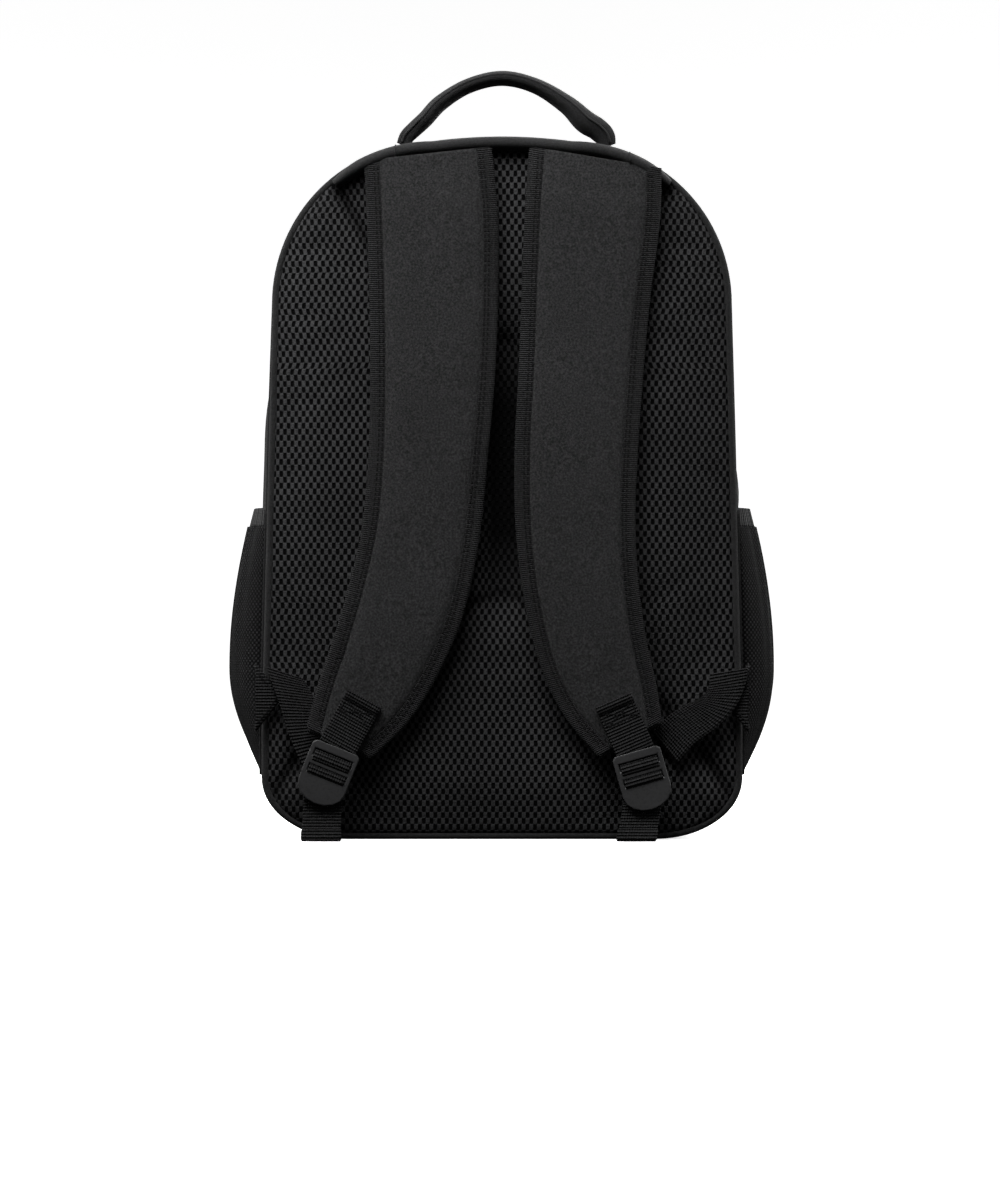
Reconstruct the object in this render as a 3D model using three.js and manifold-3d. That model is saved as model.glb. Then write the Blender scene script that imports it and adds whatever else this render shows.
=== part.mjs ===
// School backpack: padded mesh back with two curved shoulder straps, a carry handle, mesh side
// pockets and a zipped front that folds open. Millimetres, +Z up. The harness side faces -Y and
// the origin is the middle of the base, on the floor.

import * as THREE from "three";
import { mergeVertices } from "three/addons/utils/BufferGeometryUtils.js";
import Module from "manifold-3d";

const wasm = await Module();
wasm.setup();

// ---------------------------------------------------------------- driving dimensions

const GAP = 0.3; // clearance between touching pieces
const CLOTH = 1.5; // body fabric with its coating and lining
const TAPE = 0.8; // zip tape
const PIPING_RADIUS = 2.2;
const WEBBING_WIDTH = 25;
const WEBBING_THICKNESS = 1.8;

// The main shell. Its outline is two straight sides, two round top corners, a slightly crowned
// top and a flat foot with elliptical corners; every measure runs evenly from rear to front.
const MAIN = {
  rearY: -62,
  frontY: 62,
  splitZ: 70, // height of the foot panel, and of the fold that the front opens on
  rear: { halfWidth: 157, cornerX: 45, cornerZ: 350, radius: 105, crown: 3 },
  front: { halfWidth: 149, cornerX: 43, cornerZ: 346, radius: 97, crown: -1 },
  footZ: 0,
  footRun: 57,
  footRise: 40,
};
const MAIN_ZIP_Y = 28.35; // where the two rows of teeth meet
const TOOTH_ROW = 2.2; // width of one row of teeth
const TOOTH_THICKNESS = 2;
const TOOTH_RAISE = 0.4; // how far the teeth stand out of the cloth
const ZIP_TAPE_WIDTH = 7.4;

// The front pocket, a smaller shell of the same kind that stands on the front panel.
const POUCH = {
  rearY: 62.3,
  frontY: 96,
  splitZ: 106,
  rear: { halfWidth: 120, cornerX: 64, cornerZ: 232, radius: 54, crown: 2 },
  front: { halfWidth: 114, cornerX: 62, cornerZ: 230, radius: 50, crown: 2 },
  footZ: 77,
  footRun: 26,
  footRise: 24,
};
const POUCH_ZIP_Y = 78.45;
const POUCH_TAPE_WIDTH = 4;
const FLAP_CLEARANCE = 2; // height between a flap's lower edge and the fixed panel under it

// Padded back, from the wearer inwards.
const BACK_MESH = { outerY: -72, thickness: 2.3, inset: 5 };
const BACK_FOAM = 7;
const BACK_BOARD = 1.5;
const BACK_LINING = 0.8;
const BASE_PAD = { halfWidth: 92, halfDepth: 50, thickness: 4 };
const QUILT_CHANNEL = 7; // sewn channel between two foam pads
const QUILT = { topJoinZ: 300, bottomJoinZ: 152, shoulderX: 96, shoulderZ: 405, hipX: 128, hipZ: 38 };

// Side pockets, of stretch mesh with an elastic hem.
const SIDE_POCKET = { rearY: -58, frontY: 14, bottomZ: 39, fullZ: 110, hemZ: 204.5, flatZ: 240 };
const SIDE_POCKET_REACH = 180; // greatest half width, at fullZ
const SIDE_POCKET_MESH = 1.2;
const POCKET_SWELL = { power: 2.6, roundness: 0.7 }; // shape of the bulge from the rear to the front
const ELASTIC = { height: 12, thickness: 2 };

// Shoulder straps. Each row is one cross-line of the strap: left edge x, z and right edge x, z.
const STRAP_THICKNESS = 12;
const STRAP_BINDING = 10;
const STRAP_EDGE = 3; // thickness at the bound edge
const STRAP_BEND_ROW = 4; // the row where the upper and lower halves meet
const STRAP_SPLIT = 0.01; // rows left out on each side of that line
const STRAP_SEAM_SHARE = 0.4; // thickness at the top seam, as a share of the whole
const STRAP_INNER_Y = -73.2; // face towards the back at the top seam
const STRAP_SEAM_Z = 446;
const STRAP_STAND_OFF = 10; // how much further out the lower end hangs
const LEFT_STRAP = [
  [-89, 441, -7, 450],
  [-87, 400, -3, 402],
  [-85.5, 350, -3, 350],
  [-85, 300, -5, 300],
  [-86, 250, -9.5, 250],
  [-90, 205, -15, 196],
  [-98, 168, -25, 148],
  [-109, 130, -41, 109],
  [-119, 100, -60, 78],
  [-126, 73, -84, 54],
];
const RIGHT_STRAP = [
  [18, 450, 103, 436],
  [15, 402, 102, 402],
  [13, 350, 95.5, 350],
  [11, 300, 91, 300],
  [8.5, 250, 87.5, 250],
  [9.5, 200, 86, 206],
  [15, 155, 88, 166],
  [25, 114, 93, 130],
  [40, 82, 99, 103],
  [62, 55, 103, 78],
];

// Ladder locks, webbing and the triangular tabs that the webbing is sewn to.
const LOCK = {
  width: 32,
  length: 39,
  thickness: 4.5,
  slotWidth: 26,
  slotHeight: 5.5,
  bar: 5,
  lip: 12,
  chamfer: 2,
};
// Each lock hangs from the middle of its top edge and leans outwards; so does the tab above it.
const LEFT_LOCK = { side: -1, x: -106, z: 61, lean: 22, tabLean: 29, tailX: -116.6, anchorX: -160 };
const RIGHT_LOCK = { side: 1, x: 86, z: 58.5, lean: 16, tabLean: 23.5, tailX: 86.4, anchorX: 160 };
const LOCK_Y = -96; // middle of the lock's thickness
const LOCK_SWING_ROOM = 3; // between the lock's top bar and the tab, so that the lock can tilt
const TAB_LENGTH = 33;
const TAIL = { fromLockTop: 28, levelShare: 0.3, endY: -97, endZ: 0.8 };
const ANCHOR = { baseZ: 71, topZ: 120, apexReach: 17, apexDrop: 3, y: -75.4, thickness: 2.4 };
const WEBBING_CLEARANCE = 1; // between the anchor tab and the webbing in front of it
// Lower webbing, from the side seam to behind the lock: x and z of its middle, and how far the
// direction across it turns from level, in degrees, upwards on the outer side.
const LEFT_WEBBING = [
  [-141, 109, 18],
  [-136, 98, 9],
  [-131, 85, 3],
  [-125, 68, -8],
  [-118, 54, -24],
];
const RIGHT_WEBBING = [
  [147, 110, 9],
  [146, 101, 9],
  [140, 90, -8],
  [129, 80.5, -37],
  [116, 71.5, -42],
  [106, 60, -50],
];

// Carry handle: a padded loop that stands on the top seam.
const HANDLE_Y = -58;
const HANDLE_FOOT_Z = 459;
const HANDLE_LOOP = [
  [-62, HANDLE_FOOT_Z, 5, 1.5],
  [-57, 464, 5.2, 6],
  [-50, 470.5, 5.2, 10],
  [-40, 481, 5, 12],
  [-22, 492, 4.6, 12],
  [0, 497, 4.6, 12],
  [22, 492, 4.8, 12],
  [42, 480, 6, 12],
  [54, 469, 7.5, 10],
  [62, 464, 7.5, 6],
  [67, HANDLE_FOOT_Z, 7, 1.5],
]; // x, z, half thickness, half depth

// Zip sliders and pullers.
const SLIDER = { width: 9, length: 12, plate: 2.4, lift: 0.5 };
const SLIDER_SPACING = 4; // between the two sliders that meet at the top
const POUCH_SLIDER_RISE = 14; // of the pocket's slider above the end of its zip
const BRIDGE = { width: 3, length: 9, height: 4.6, hole: 3.4, root: 0.5 };
const PULLER = { width: 7, length: 32, thickness: 1.6, window: 4.4, windowRoom: 1.5, bar: 1.5 };
const PULLER_DROOP = 4; // degrees, of the puller that lies over the top corner
const ACCESSORY_ZIP = { halfLength: 88, halfHeight: 6, z: 214 };

// ---------------------------------------------------------------- materials

const finish = (color, roughness, metalness = 0) =>
  new THREE.MeshStandardMaterial({ color, roughness, metalness });

const canvas = finish(0x2a2b2e, 0.85);
const meshCloth = finish(0x1f2022, 0.9);
const foam = finish(0x3a3b3f, 0.95);
const board = finish(0x55575c, 0.6);
const lining = finish(0x46484d, 0.8);
const webbing = finish(0x242528, 0.8);
const elastic = finish(0x2f3033, 0.85);
const zipCoil = finish(0x18191b, 0.5);
const buckle = finish(0x3b3c40, 0.45);
const metal = finish(0x4a4b4f, 0.4, 0.9);

// ---------------------------------------------------------------- solids

const backpack = new THREE.Group();

/** Adds one named piece to the backpack and returns it. */
function addPiece(name, geometry, material) {
  const mesh = new THREE.Mesh(geometry, material);
  mesh.name = name;
  backpack.add(mesh);
  return mesh;
}

/** Volume of a closed indexed geometry, negative when its faces point inwards. */
function signedVolume(positions, faces) {
  const corner = (k) => new THREE.Vector3().fromArray(positions, 3 * k);
  let total = 0;
  for (let k = 0; k < faces.length; k += 3) {
    const [a, b, c] = [corner(faces[k]), corner(faces[k + 1]), corner(faces[k + 2])];
    total += a.dot(b.cross(c)) / 6;
  }
  return total;
}

/** Closed solid through equal rings of points: capped at both ends, or joined into a loop. */
function loft(rings, closed = false) {
  const size = rings[0].length;
  const positions = rings.flat().flatMap((p) => [p.x, p.y, p.z]);
  const faces = [];
  const quad = (a, b, c, d) => faces.push(a, b, c, a, c, d);
  const last = closed ? rings.length : rings.length - 1;
  for (let i = 0; i < last; i += 1) {
    const here = i * size;
    const next = ((i + 1) % rings.length) * size;
    for (let j = 0; j < size; j += 1) {
      const k = (j + 1) % size;
      quad(here + j, here + k, next + k, next + j);
    }
  }
  if (!closed) {
    const end = (rings.length - 1) * size;
    for (let j = 0; j < size / 2 - 1; j += 1) {
      quad(size - 1 - j, size - 2 - j, j + 1, j);
      quad(end + j, end + j + 1, end + size - 2 - j, end + size - 1 - j);
    }
  }
  if (signedVolume(positions, faces) < 0) faces.reverse();
  const geometry = new THREE.BufferGeometry();
  geometry.setAttribute("position", new THREE.Float32BufferAttribute(positions, 3));
  geometry.setIndex(faces);
  return geometry;
}

/** Plate between y0 and y1 with the outline given as [x, z] points, and holes of the same kind. */
function plateAlongY(outline, y0, y1, holes = []) {
  const flat = (points) => points.map(([x, z]) => new THREE.Vector2(x, z));
  const shape = new THREE.Shape(flat(outline));
  shape.holes = holes.map((hole) => new THREE.Path(flat(hole)));
  const geometry = new THREE.ExtrudeGeometry(shape, { depth: y1 - y0, bevelEnabled: false });
  geometry.rotateX(Math.PI / 2);
  geometry.translate(0, y1, 0);
  return geometry;
}

/** Converts a closed geometry to a manifold solid. */
function toSolid(geometry) {
  const bare = geometry.clone();
  bare.deleteAttribute("normal");
  bare.deleteAttribute("uv");
  const merged = mergeVertices(bare, 1e-4);
  return new wasm.Manifold(
    new wasm.Mesh({
      numProp: 3,
      vertProperties: Float32Array.from(merged.attributes.position.array),
      triVerts: Uint32Array.from(merged.index.array),
    }),
  );
}

/** Converts a manifold solid back to a geometry. */
function toGeometry(solid) {
  const mesh = solid.getMesh();
  const geometry = new THREE.BufferGeometry();
  geometry.setAttribute("position", new THREE.Float32BufferAttribute(mesh.vertProperties, 3));
  geometry.setIndex(new THREE.Uint32BufferAttribute(mesh.triVerts, 1));
  return geometry;
}

const joined = (a, b) => toGeometry(toSolid(a).add(toSolid(b)));
const cut = (a, b) => toGeometry(toSolid(a).subtract(toSolid(b)));

/** Box from its lowest and highest corners. */
function boxBetween(low, high) {
  const geometry = new THREE.BoxGeometry(high[0] - low[0], high[1] - low[1], high[2] - low[2]);
  return geometry.translate(
    (low[0] + high[0]) / 2,
    (low[1] + high[1]) / 2,
    (low[2] + high[2]) / 2,
  );
}

// ---------------------------------------------------------------- shell outlines

const SIDE_STEPS = 5;
const CORNER_STEPS = 9;
const TOP_STEPS = 4;
const FOOT_STEPS = 5;

/** The measures of a shell's outline at depth y, moved inwards by inset. */
function sectionAt(shell, y, inset) {
  const share = (y - shell.rearY) / (shell.frontY - shell.rearY);
  const mix = (name) => THREE.MathUtils.lerp(shell.rear[name], shell.front[name], share);
  return {
    halfWidth: mix("halfWidth") - inset,
    cornerX: mix("cornerX"),
    cornerZ: mix("cornerZ"),
    radius: mix("radius") - inset,
    crown: mix("crown"),
  };
}

/** Right half of the arch from height fromZ up to the middle of the top, as [x, z] points. */
function halfArch(shell, y, inset, fromZ) {
  const s = sectionAt(shell, y, inset);
  const points = [];
  for (let i = 0; i < SIDE_STEPS; i += 1) {
    const z = THREE.MathUtils.lerp(fromZ, s.cornerZ, i / SIDE_STEPS);
    const lean = (z - shell.splitZ) / (s.cornerZ - shell.splitZ);
    points.push([THREE.MathUtils.lerp(s.halfWidth, s.cornerX + s.radius, lean), z]);
  }
  for (let i = 0; i < CORNER_STEPS; i += 1) {
    const angle = (i / CORNER_STEPS) * (Math.PI / 2);
    points.push([s.cornerX + s.radius * Math.cos(angle), s.cornerZ + s.radius * Math.sin(angle)]);
  }
  for (let i = 0; i < TOP_STEPS; i += 1) {
    const across = 1 - i / TOP_STEPS;
    points.push([s.cornerX * across, s.cornerZ + s.radius + s.crown * (1 - across ** 2)]);
  }
  points.push([0, s.cornerZ + s.radius + s.crown]);
  return points;
}

/** Right half of the foot from the middle of the bottom up to height toZ, as [x, z] points. */
function halfFoot(shell, y, inset, toZ) {
  const s = sectionAt(shell, y, inset);
  const run = shell.footRun - inset;
  const rise = shell.footRise - inset;
  const centreX = s.halfWidth - run;
  const points = [[0, shell.footZ + inset]];
  for (let i = 0; i <= FOOT_STEPS; i += 1) {
    const angle = (i / FOOT_STEPS) * (Math.PI / 2);
    const z = shell.footZ + shell.footRise - rise * Math.cos(angle);
    points.push([centreX + run * Math.sin(angle), z]);
  }
  points.push([s.halfWidth, toZ]);
  return points;
}

const mirrored = (points) => points.map(([x, z]) => [-x, z]).reverse();

/** The arch from its left foot over the top to its right foot. */
function arch(shell, y, inset, fromZ) {
  const right = halfArch(shell, y, inset, fromZ);
  return [...right, ...mirrored(right).slice(1)].reverse();
}

/** The foot from its left top edge under the bottom to its right top edge. */
function foot(shell, y, inset, toZ) {
  const right = halfFoot(shell, y, inset, toZ);
  return [...mirrored(right).slice(0, -1), ...right];
}

/** The whole outline, anticlockwise seen from the front. */
function wholeOutline(shell, y, inset) {
  const over = arch(shell, y, inset, shell.splitZ).reverse();
  return [...foot(shell, y, inset, shell.splitZ).slice(0, -1), ...over.slice(0, -1)];
}

/** Band of cloth from depth y0 to y1 that follows a line such as arch or foot. */
function band(line, shell, y0, y1, thickness, limitZ, raise = 0) {
  const edges = [
    [y0, -raise],
    [y1, -raise],
    [y1, thickness - raise],
    [y0, thickness - raise],
  ].map(([y, inset]) => line(shell, y, inset, limitZ).map(([x, z]) => new THREE.Vector3(x, y, z)));
  return loft(edges[0].map((_, i) => edges.map((edge) => edge[i])));
}

/** Round piping along a closed outline at depth y. */
function piping(outline, y, radius) {
  const count = outline.length;
  const rings = outline.map(([x, z], i) => {
    const before = outline[(i + count - 1) % count];
    const after = outline[(i + 1) % count];
    const along = new THREE.Vector2(after[0] - before[0], after[1] - before[1]).normalize();
    return roundSection(x, y, z, -along.y, along.x, radius, radius);
  });
  return loft(rings, true);
}

/** Oval ring of points: one half axis along the unit vector (sideX, sideZ), the other along Y. */
function roundSection(x, y, z, sideX, sideZ, halfSide, halfDepth, steps = 8) {
  return Array.from({ length: steps }, (_, k) => {
    const angle = ((k + 0.5) / steps) * 2 * Math.PI;
    const side = halfSide * Math.cos(angle);
    return new THREE.Vector3(x + sideX * side, y + halfDepth * Math.sin(angle), z + sideZ * side);
  });
}

// ---------------------------------------------------------------- padded back

/** The four foam pads, cut apart by the sewn channels that cross the back. */
function buildBackPads(y0, y1) {
  const whole = wholeOutline(MAIN, MAIN.rearY, BACK_MESH.inset);
  const far = 300;
  const half = QUILT_CHANNEL / 2;
  const { topJoinZ, bottomJoinZ, shoulderX, shoulderZ, hipX, hipZ } = QUILT;
  const topSlope = (shoulderZ - topJoinZ) / shoulderX;
  const bottomSlope = (bottomJoinZ - hipZ) / hipX;
  const rise = half * Math.hypot(1, topSlope);
  const drop = half * Math.hypot(1, bottomSlope);
  const wedgeTop = [
    [0, topJoinZ + rise],
    [far, topJoinZ + rise + far * topSlope],
    [far, topJoinZ + rise + 2 * far * topSlope],
    [-far, topJoinZ + rise + 2 * far * topSlope],
    [-far, topJoinZ + rise + far * topSlope],
  ];
  const wedgeBottom = [
    [0, bottomJoinZ - drop],
    [-far, bottomJoinZ - drop - far * bottomSlope],
    [-far, bottomJoinZ - drop - 2 * far * bottomSlope],
    [far, bottomJoinZ - drop - 2 * far * bottomSlope],
    [far, bottomJoinZ - drop - far * bottomSlope],
  ];
  const wedgeSide = (side) => {
    const points = [
      [half, topJoinZ - rise + half * topSlope],
      [half, bottomJoinZ + drop - half * bottomSlope],
      [far, bottomJoinZ + drop - far * bottomSlope],
      [far, topJoinZ - rise + far * topSlope],
    ];
    return side > 0 ? points : points.map(([x, z]) => [-x, z]).reverse();
  };
  const foamSheet = toSolid(plateAlongY(whole, y0, y1));
  const pad = (outline) => {
    const cutter = toSolid(plateAlongY(outline, y0 - 1, y1 + 1));
    return toGeometry(foamSheet.intersect(cutter));
  };
  addPiece("back_pad_top", pad(wedgeTop), foam);
  addPiece("back_pad_bottom", pad(wedgeBottom), foam);
  addPiece("back_pad_left", pad(wedgeSide(-1)), foam);
  addPiece("back_pad_right", pad(wedgeSide(1)), foam);
}

/** Mesh face, foam pads, stiffening board and lining, one behind the other. */
function buildBack() {
  const outline = (inset) => wholeOutline(MAIN, MAIN.rearY, inset);
  let y = BACK_MESH.outerY;
  const layer = (thickness) => {
    const from = y;
    y += thickness + GAP;
    return [from, from + thickness];
  };
  addPiece("back_mesh", plateAlongY(outline(BACK_MESH.inset), ...layer(BACK_MESH.thickness)), meshCloth);
  buildBackPads(...layer(BACK_FOAM));
  const inner = 2 * CLOTH;
  addPiece("back_board", plateAlongY(outline(inner), ...layer(BACK_BOARD)), board);
  addPiece("back_lining", plateAlongY(outline(inner), ...layer(BACK_LINING)), lining);
  const pipingY = MAIN.rearY - GAP - PIPING_RADIUS;
  const pipingLine = wholeOutline(MAIN, MAIN.rearY, PIPING_RADIUS);
  addPiece("back_piping", piping(pipingLine, pipingY, PIPING_RADIUS), canvas);
}

// ---------------------------------------------------------------- zips

/** Adds a row of teeth and its tape on the rear or front side of a shell's zip. */
function zipSide(prefix, shell, zipY, tapeWidth, side, fromZ) {
  const at = (near, far) => [zipY + side * near, zipY + side * far].sort((a, b) => a - b);
  const teethFrom = GAP / 2;
  const teethTo = teethFrom + TOOTH_ROW;
  const tapeFrom = teethTo + GAP;
  const teeth = band(arch, shell, ...at(teethFrom, teethTo), TOOTH_THICKNESS, fromZ, TOOTH_RAISE);
  const tape = band(arch, shell, ...at(tapeFrom, tapeFrom + tapeWidth), TAPE, fromZ);
  addPiece(`${prefix}_zip_teeth`, teeth, zipCoil);
  addPiece(`${prefix}_zip_tape`, tape, webbing);
  return at(tapeFrom + tapeWidth + GAP, 0)[side > 0 ? 1 : 0];
}

/** Slider in its own frame: X across the zip, Y along it, Z outwards from the teeth. */
function sliderGeometry() {
  const { width, length, plate, lift } = SLIDER;
  const shape = new THREE.Shape();
  const half = width / 2;
  shape.absellipse(0, 0, half, length / 2, 0, 2 * Math.PI);
  const base = new THREE.ExtrudeGeometry(shape, { depth: plate, bevelEnabled: false, curveSegments: 8 });
  base.translate(0, 0, lift);
  const top = lift + plate + BRIDGE.height;
  const rootZ = lift + plate - BRIDGE.root;
  const staple = boxBetween(
    [-BRIDGE.width / 2, -BRIDGE.length / 2, rootZ],
    [BRIDGE.width / 2, BRIDGE.length / 2, top],
  );
  const holeZ = bridgeAxis();
  const hole = boxBetween(
    [-BRIDGE.width, -BRIDGE.hole / 2, holeZ - BRIDGE.hole / 2],
    [BRIDGE.width, BRIDGE.hole / 2, holeZ + BRIDGE.hole / 2],
  );
  return joined(base, cut(staple, hole));
}

/** Height of the puller's bar above the teeth. */
function bridgeAxis() {
  return SLIDER.lift + SLIDER.plate + BRIDGE.height / 2;
}

/** Puller in the slider's frame, lying along -Y, with its bar through the slider's bridge. */
function pullerGeometry() {
  const { width, length, thickness, window: hole, windowRoom, bar } = PULLER;
  const z = bridgeAxis();
  const tab = boxBetween(
    [-width / 2, -length, z - thickness / 2],
    [width / 2, bar / 2, z + thickness / 2],
  );
  const eye = boxBetween(
    [-hole / 2, -bar / 2 - BRIDGE.length / 2 - windowRoom, z - thickness],
    [hole / 2, -bar / 2, z + thickness],
  );
  return cut(tab, eye);
}

/** Adds a slider and its puller at a place, with the frame's X, Y and Z along the given axes. */
function addSlider(name, place, across, along, outwards, droop = 0) {
  const frame = new THREE.Matrix4().makeBasis(across, along, outwards).setPosition(place);
  const axis = bridgeAxis();
  const puller = pullerGeometry().translate(0, 0, -axis).rotateX(droop).translate(0, 0, axis);
  addPiece(`${name}_slider`, sliderGeometry().applyMatrix4(frame), metal);
  addPiece(`${name}_puller`, puller.applyMatrix4(frame), metal);
}

// ---------------------------------------------------------------- body

/** Foot panel, rear gusset, lower front panel and the rear half of the main zip. */
function buildBody() {
  const { rearY, frontY, splitZ } = MAIN;
  addPiece("base_panel", band(foot, MAIN, rearY, frontY, CLOTH, splitZ), canvas);
  const { halfWidth, halfDepth, thickness } = BASE_PAD;
  const padZ = CLOTH + GAP;
  const padTop = [halfWidth, halfDepth, padZ + thickness];
  addPiece("base_pad", boxBetween([-halfWidth, -halfDepth, padZ], padTop), foam);
  const lower = foot(MAIN, frontY, CLOTH + GAP, splitZ);
  addPiece("lower_front_panel", plateAlongY(lower, frontY - CLOTH, frontY), canvas);
  const gussetFront = zipSide("rear", MAIN, MAIN_ZIP_Y, ZIP_TAPE_WIDTH, -1, splitZ + GAP);
  addPiece("rear_gusset", band(arch, MAIN, rearY, gussetFront, CLOTH, splitZ + GAP), canvas);
}

/** Front half of the main zip, its gusset, the front panel and the piping round it. */
function buildFrontFlap() {
  const { frontY, splitZ } = MAIN;
  const fromZ = splitZ + FLAP_CLEARANCE;
  const gussetRear = zipSide("front", MAIN, MAIN_ZIP_Y, ZIP_TAPE_WIDTH, 1, fromZ);
  addPiece("front_gusset", band(arch, MAIN, gussetRear, frontY - GAP, CLOTH, fromZ), canvas);
  const panel = arch(MAIN, frontY, CLOTH + GAP, fromZ);
  addPiece("front_panel", plateAlongY(panel, frontY - CLOTH, frontY), canvas);
}

/** Front pocket: rear band, foot, lower panel, zip, and the panel that folds open. */
function buildPouch() {
  const { rearY, frontY, splitZ } = POUCH;
  const fromZ = splitZ + FLAP_CLEARANCE;
  const gussetFront = zipSide("pouch_rear", POUCH, POUCH_ZIP_Y, POUCH_TAPE_WIDTH, -1, splitZ + GAP);
  addPiece("pouch_rear_gusset", band(arch, POUCH, rearY, gussetFront, CLOTH, splitZ + GAP), canvas);
  addPiece("pouch_foot", band(foot, POUCH, rearY, frontY, CLOTH, splitZ), canvas);
  const lower = foot(POUCH, frontY, CLOTH + GAP, splitZ);
  addPiece("pouch_lower_panel", plateAlongY(lower, frontY - CLOTH, frontY), canvas);
  const gussetRear = zipSide("pouch_front", POUCH, POUCH_ZIP_Y, POUCH_TAPE_WIDTH, 1, fromZ);
  addPiece("pouch_front_gusset", band(arch, POUCH, gussetRear, frontY - GAP, CLOTH, fromZ), canvas);
  const { halfLength, halfHeight, z } = ACCESSORY_ZIP;
  const slit = rectangle(0, z, 2 * halfLength, 2 * halfHeight);
  const panel = arch(POUCH, frontY, CLOTH + GAP, fromZ);
  addPiece("pouch_panel", plateAlongY(panel, frontY - CLOTH, frontY, [slit]), canvas);
  const tapeHalf = halfLength - GAP;
  const strip = (name, z0, z1, y0, y1, material) =>
    addPiece(name, boxBetween([-tapeHalf, y0, z0], [tapeHalf, y1, z1]), material);
  const tapeY = frontY - CLOTH;
  const tapeNear = TOOTH_ROW + GAP;
  const tapeFar = halfHeight - GAP;
  const tapeFront = tapeY + TAPE;
  strip("accessory_zip_upper_tape", z + tapeNear, z + tapeFar, tapeY, tapeFront, webbing);
  strip("accessory_zip_lower_tape", z - tapeFar, z - tapeNear, tapeY, tapeFront, webbing);
  strip("accessory_zip_teeth", z - TOOTH_ROW, z + TOOTH_ROW, tapeY, frontY + TOOTH_RAISE, zipCoil);
}

/** The four sliders, each parked at the closed end of its run. */
function buildSliders() {
  const x = new THREE.Vector3(1, 0, 0);
  const y = new THREE.Vector3(0, 1, 0);
  const z = new THREE.Vector3(0, 0, 1);
  const main = sectionAt(MAIN, MAIN_ZIP_Y, 0);
  const topZ = main.cornerZ + main.radius + TOOTH_RAISE;
  const leftPlace = new THREE.Vector3(-main.cornerX, MAIN_ZIP_Y, topZ);
  const droop = THREE.MathUtils.degToRad(PULLER_DROOP);
  addSlider("main_left", leftPlace, y.clone().negate(), x, z, droop);
  const rightX = -main.cornerX + SLIDER.length + SLIDER_SPACING;
  const rightPlace = new THREE.Vector3(rightX, MAIN_ZIP_Y, topZ);
  addSlider("main_right", rightPlace, y, x.clone().negate(), z);
  const pouch = sectionAt(POUCH, POUCH_ZIP_Y, 0);
  const pouchX = pouch.halfWidth + TOOTH_RAISE;
  const pouchPlace = new THREE.Vector3(pouchX, POUCH_ZIP_Y, POUCH.splitZ + POUCH_SLIDER_RISE);
  addSlider("pouch", pouchPlace, y, z, x);
  const endX = ACCESSORY_ZIP.halfLength - SLIDER.length;
  const accessoryPlace = new THREE.Vector3(endX, POUCH.frontY + TOOTH_RAISE, ACCESSORY_ZIP.z);
  addSlider("accessory", accessoryPlace, x.clone().negate(), z, y);
}

// ---------------------------------------------------------------- side pockets

/** Half width of the main shell's side at a depth and height. */
function sideX(y, z) {
  const s = sectionAt(MAIN, y, 0);
  const lean = Math.max(0, (z - MAIN.splitZ) / (s.cornerZ - MAIN.splitZ));
  return THREE.MathUtils.lerp(s.halfWidth, s.cornerX + s.radius, lean);
}

/** Half width that the side pocket reaches at its middle, at a height. */
function pocketReach(z) {
  const { bottomZ, fullZ, flatZ } = SIDE_POCKET;
  const quarter = Math.PI / 2;
  const swell =
    z < fullZ
      ? Math.sin((quarter * (z - bottomZ)) / (fullZ - bottomZ))
      : Math.cos((quarter * (z - fullZ)) / (flatZ - fullZ));
  const flat = MAIN.rear.halfWidth;
  return flat + (SIDE_POCKET_REACH - flat) * Math.max(0, swell);
}

/** Cloth that bulges out from the shell's side between two heights. */
function bulgingCloth(side, z0, z1, rows, thickness) {
  const { rearY, frontY } = SIDE_POCKET;
  const columns = 10;
  const surface = (z, depth, offset) => {
    const y = THREE.MathUtils.lerp(rearY, frontY, depth);
    const swell = (1 - Math.abs(2 * depth - 1) ** POCKET_SWELL.power) ** POCKET_SWELL.roundness;
    const seam = sideX(y, z) + GAP;
    const reach = Math.max(seam, pocketReach(z) - thickness);
    const x = THREE.MathUtils.lerp(seam, reach, swell) + offset;
    return new THREE.Vector3(side * x, y, z);
  };
  const rings = Array.from({ length: rows + 1 }, (_, i) => {
    const z = THREE.MathUtils.lerp(z0, z1, i / rows);
    const outer = Array.from({ length: columns + 1 }, (__, j) => surface(z, j / columns, thickness));
    const inner = Array.from({ length: columns + 1 }, (__, j) => surface(z, j / columns, 0));
    return [...outer, ...inner.reverse()];
  });
  return loft(rings);
}

/** Mesh pocket and its elastic hem on one side. */
function buildSidePocket(name, side) {
  const { bottomZ, hemZ } = SIDE_POCKET;
  const pouch = bulgingCloth(side, bottomZ, hemZ - GAP, 12, SIDE_POCKET_MESH);
  addPiece(`${name}_side_pocket`, pouch, meshCloth);
  const hem = bulgingCloth(side, hemZ, hemZ + ELASTIC.height, 1, ELASTIC.thickness);
  addPiece(`${name}_pocket_elastic`, hem, elastic);
}

// ---------------------------------------------------------------- harness

/** Depth of the strap's middle at height z: close to the back at the seam, standing off below. */
function strapY(z) {
  const share = THREE.MathUtils.clamp((STRAP_SEAM_Z - z) / STRAP_SEAM_Z, 0, 1);
  return STRAP_INNER_Y - STRAP_THICKNESS / 2 - STRAP_STAND_OFF * share ** 1.5;
}

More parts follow.
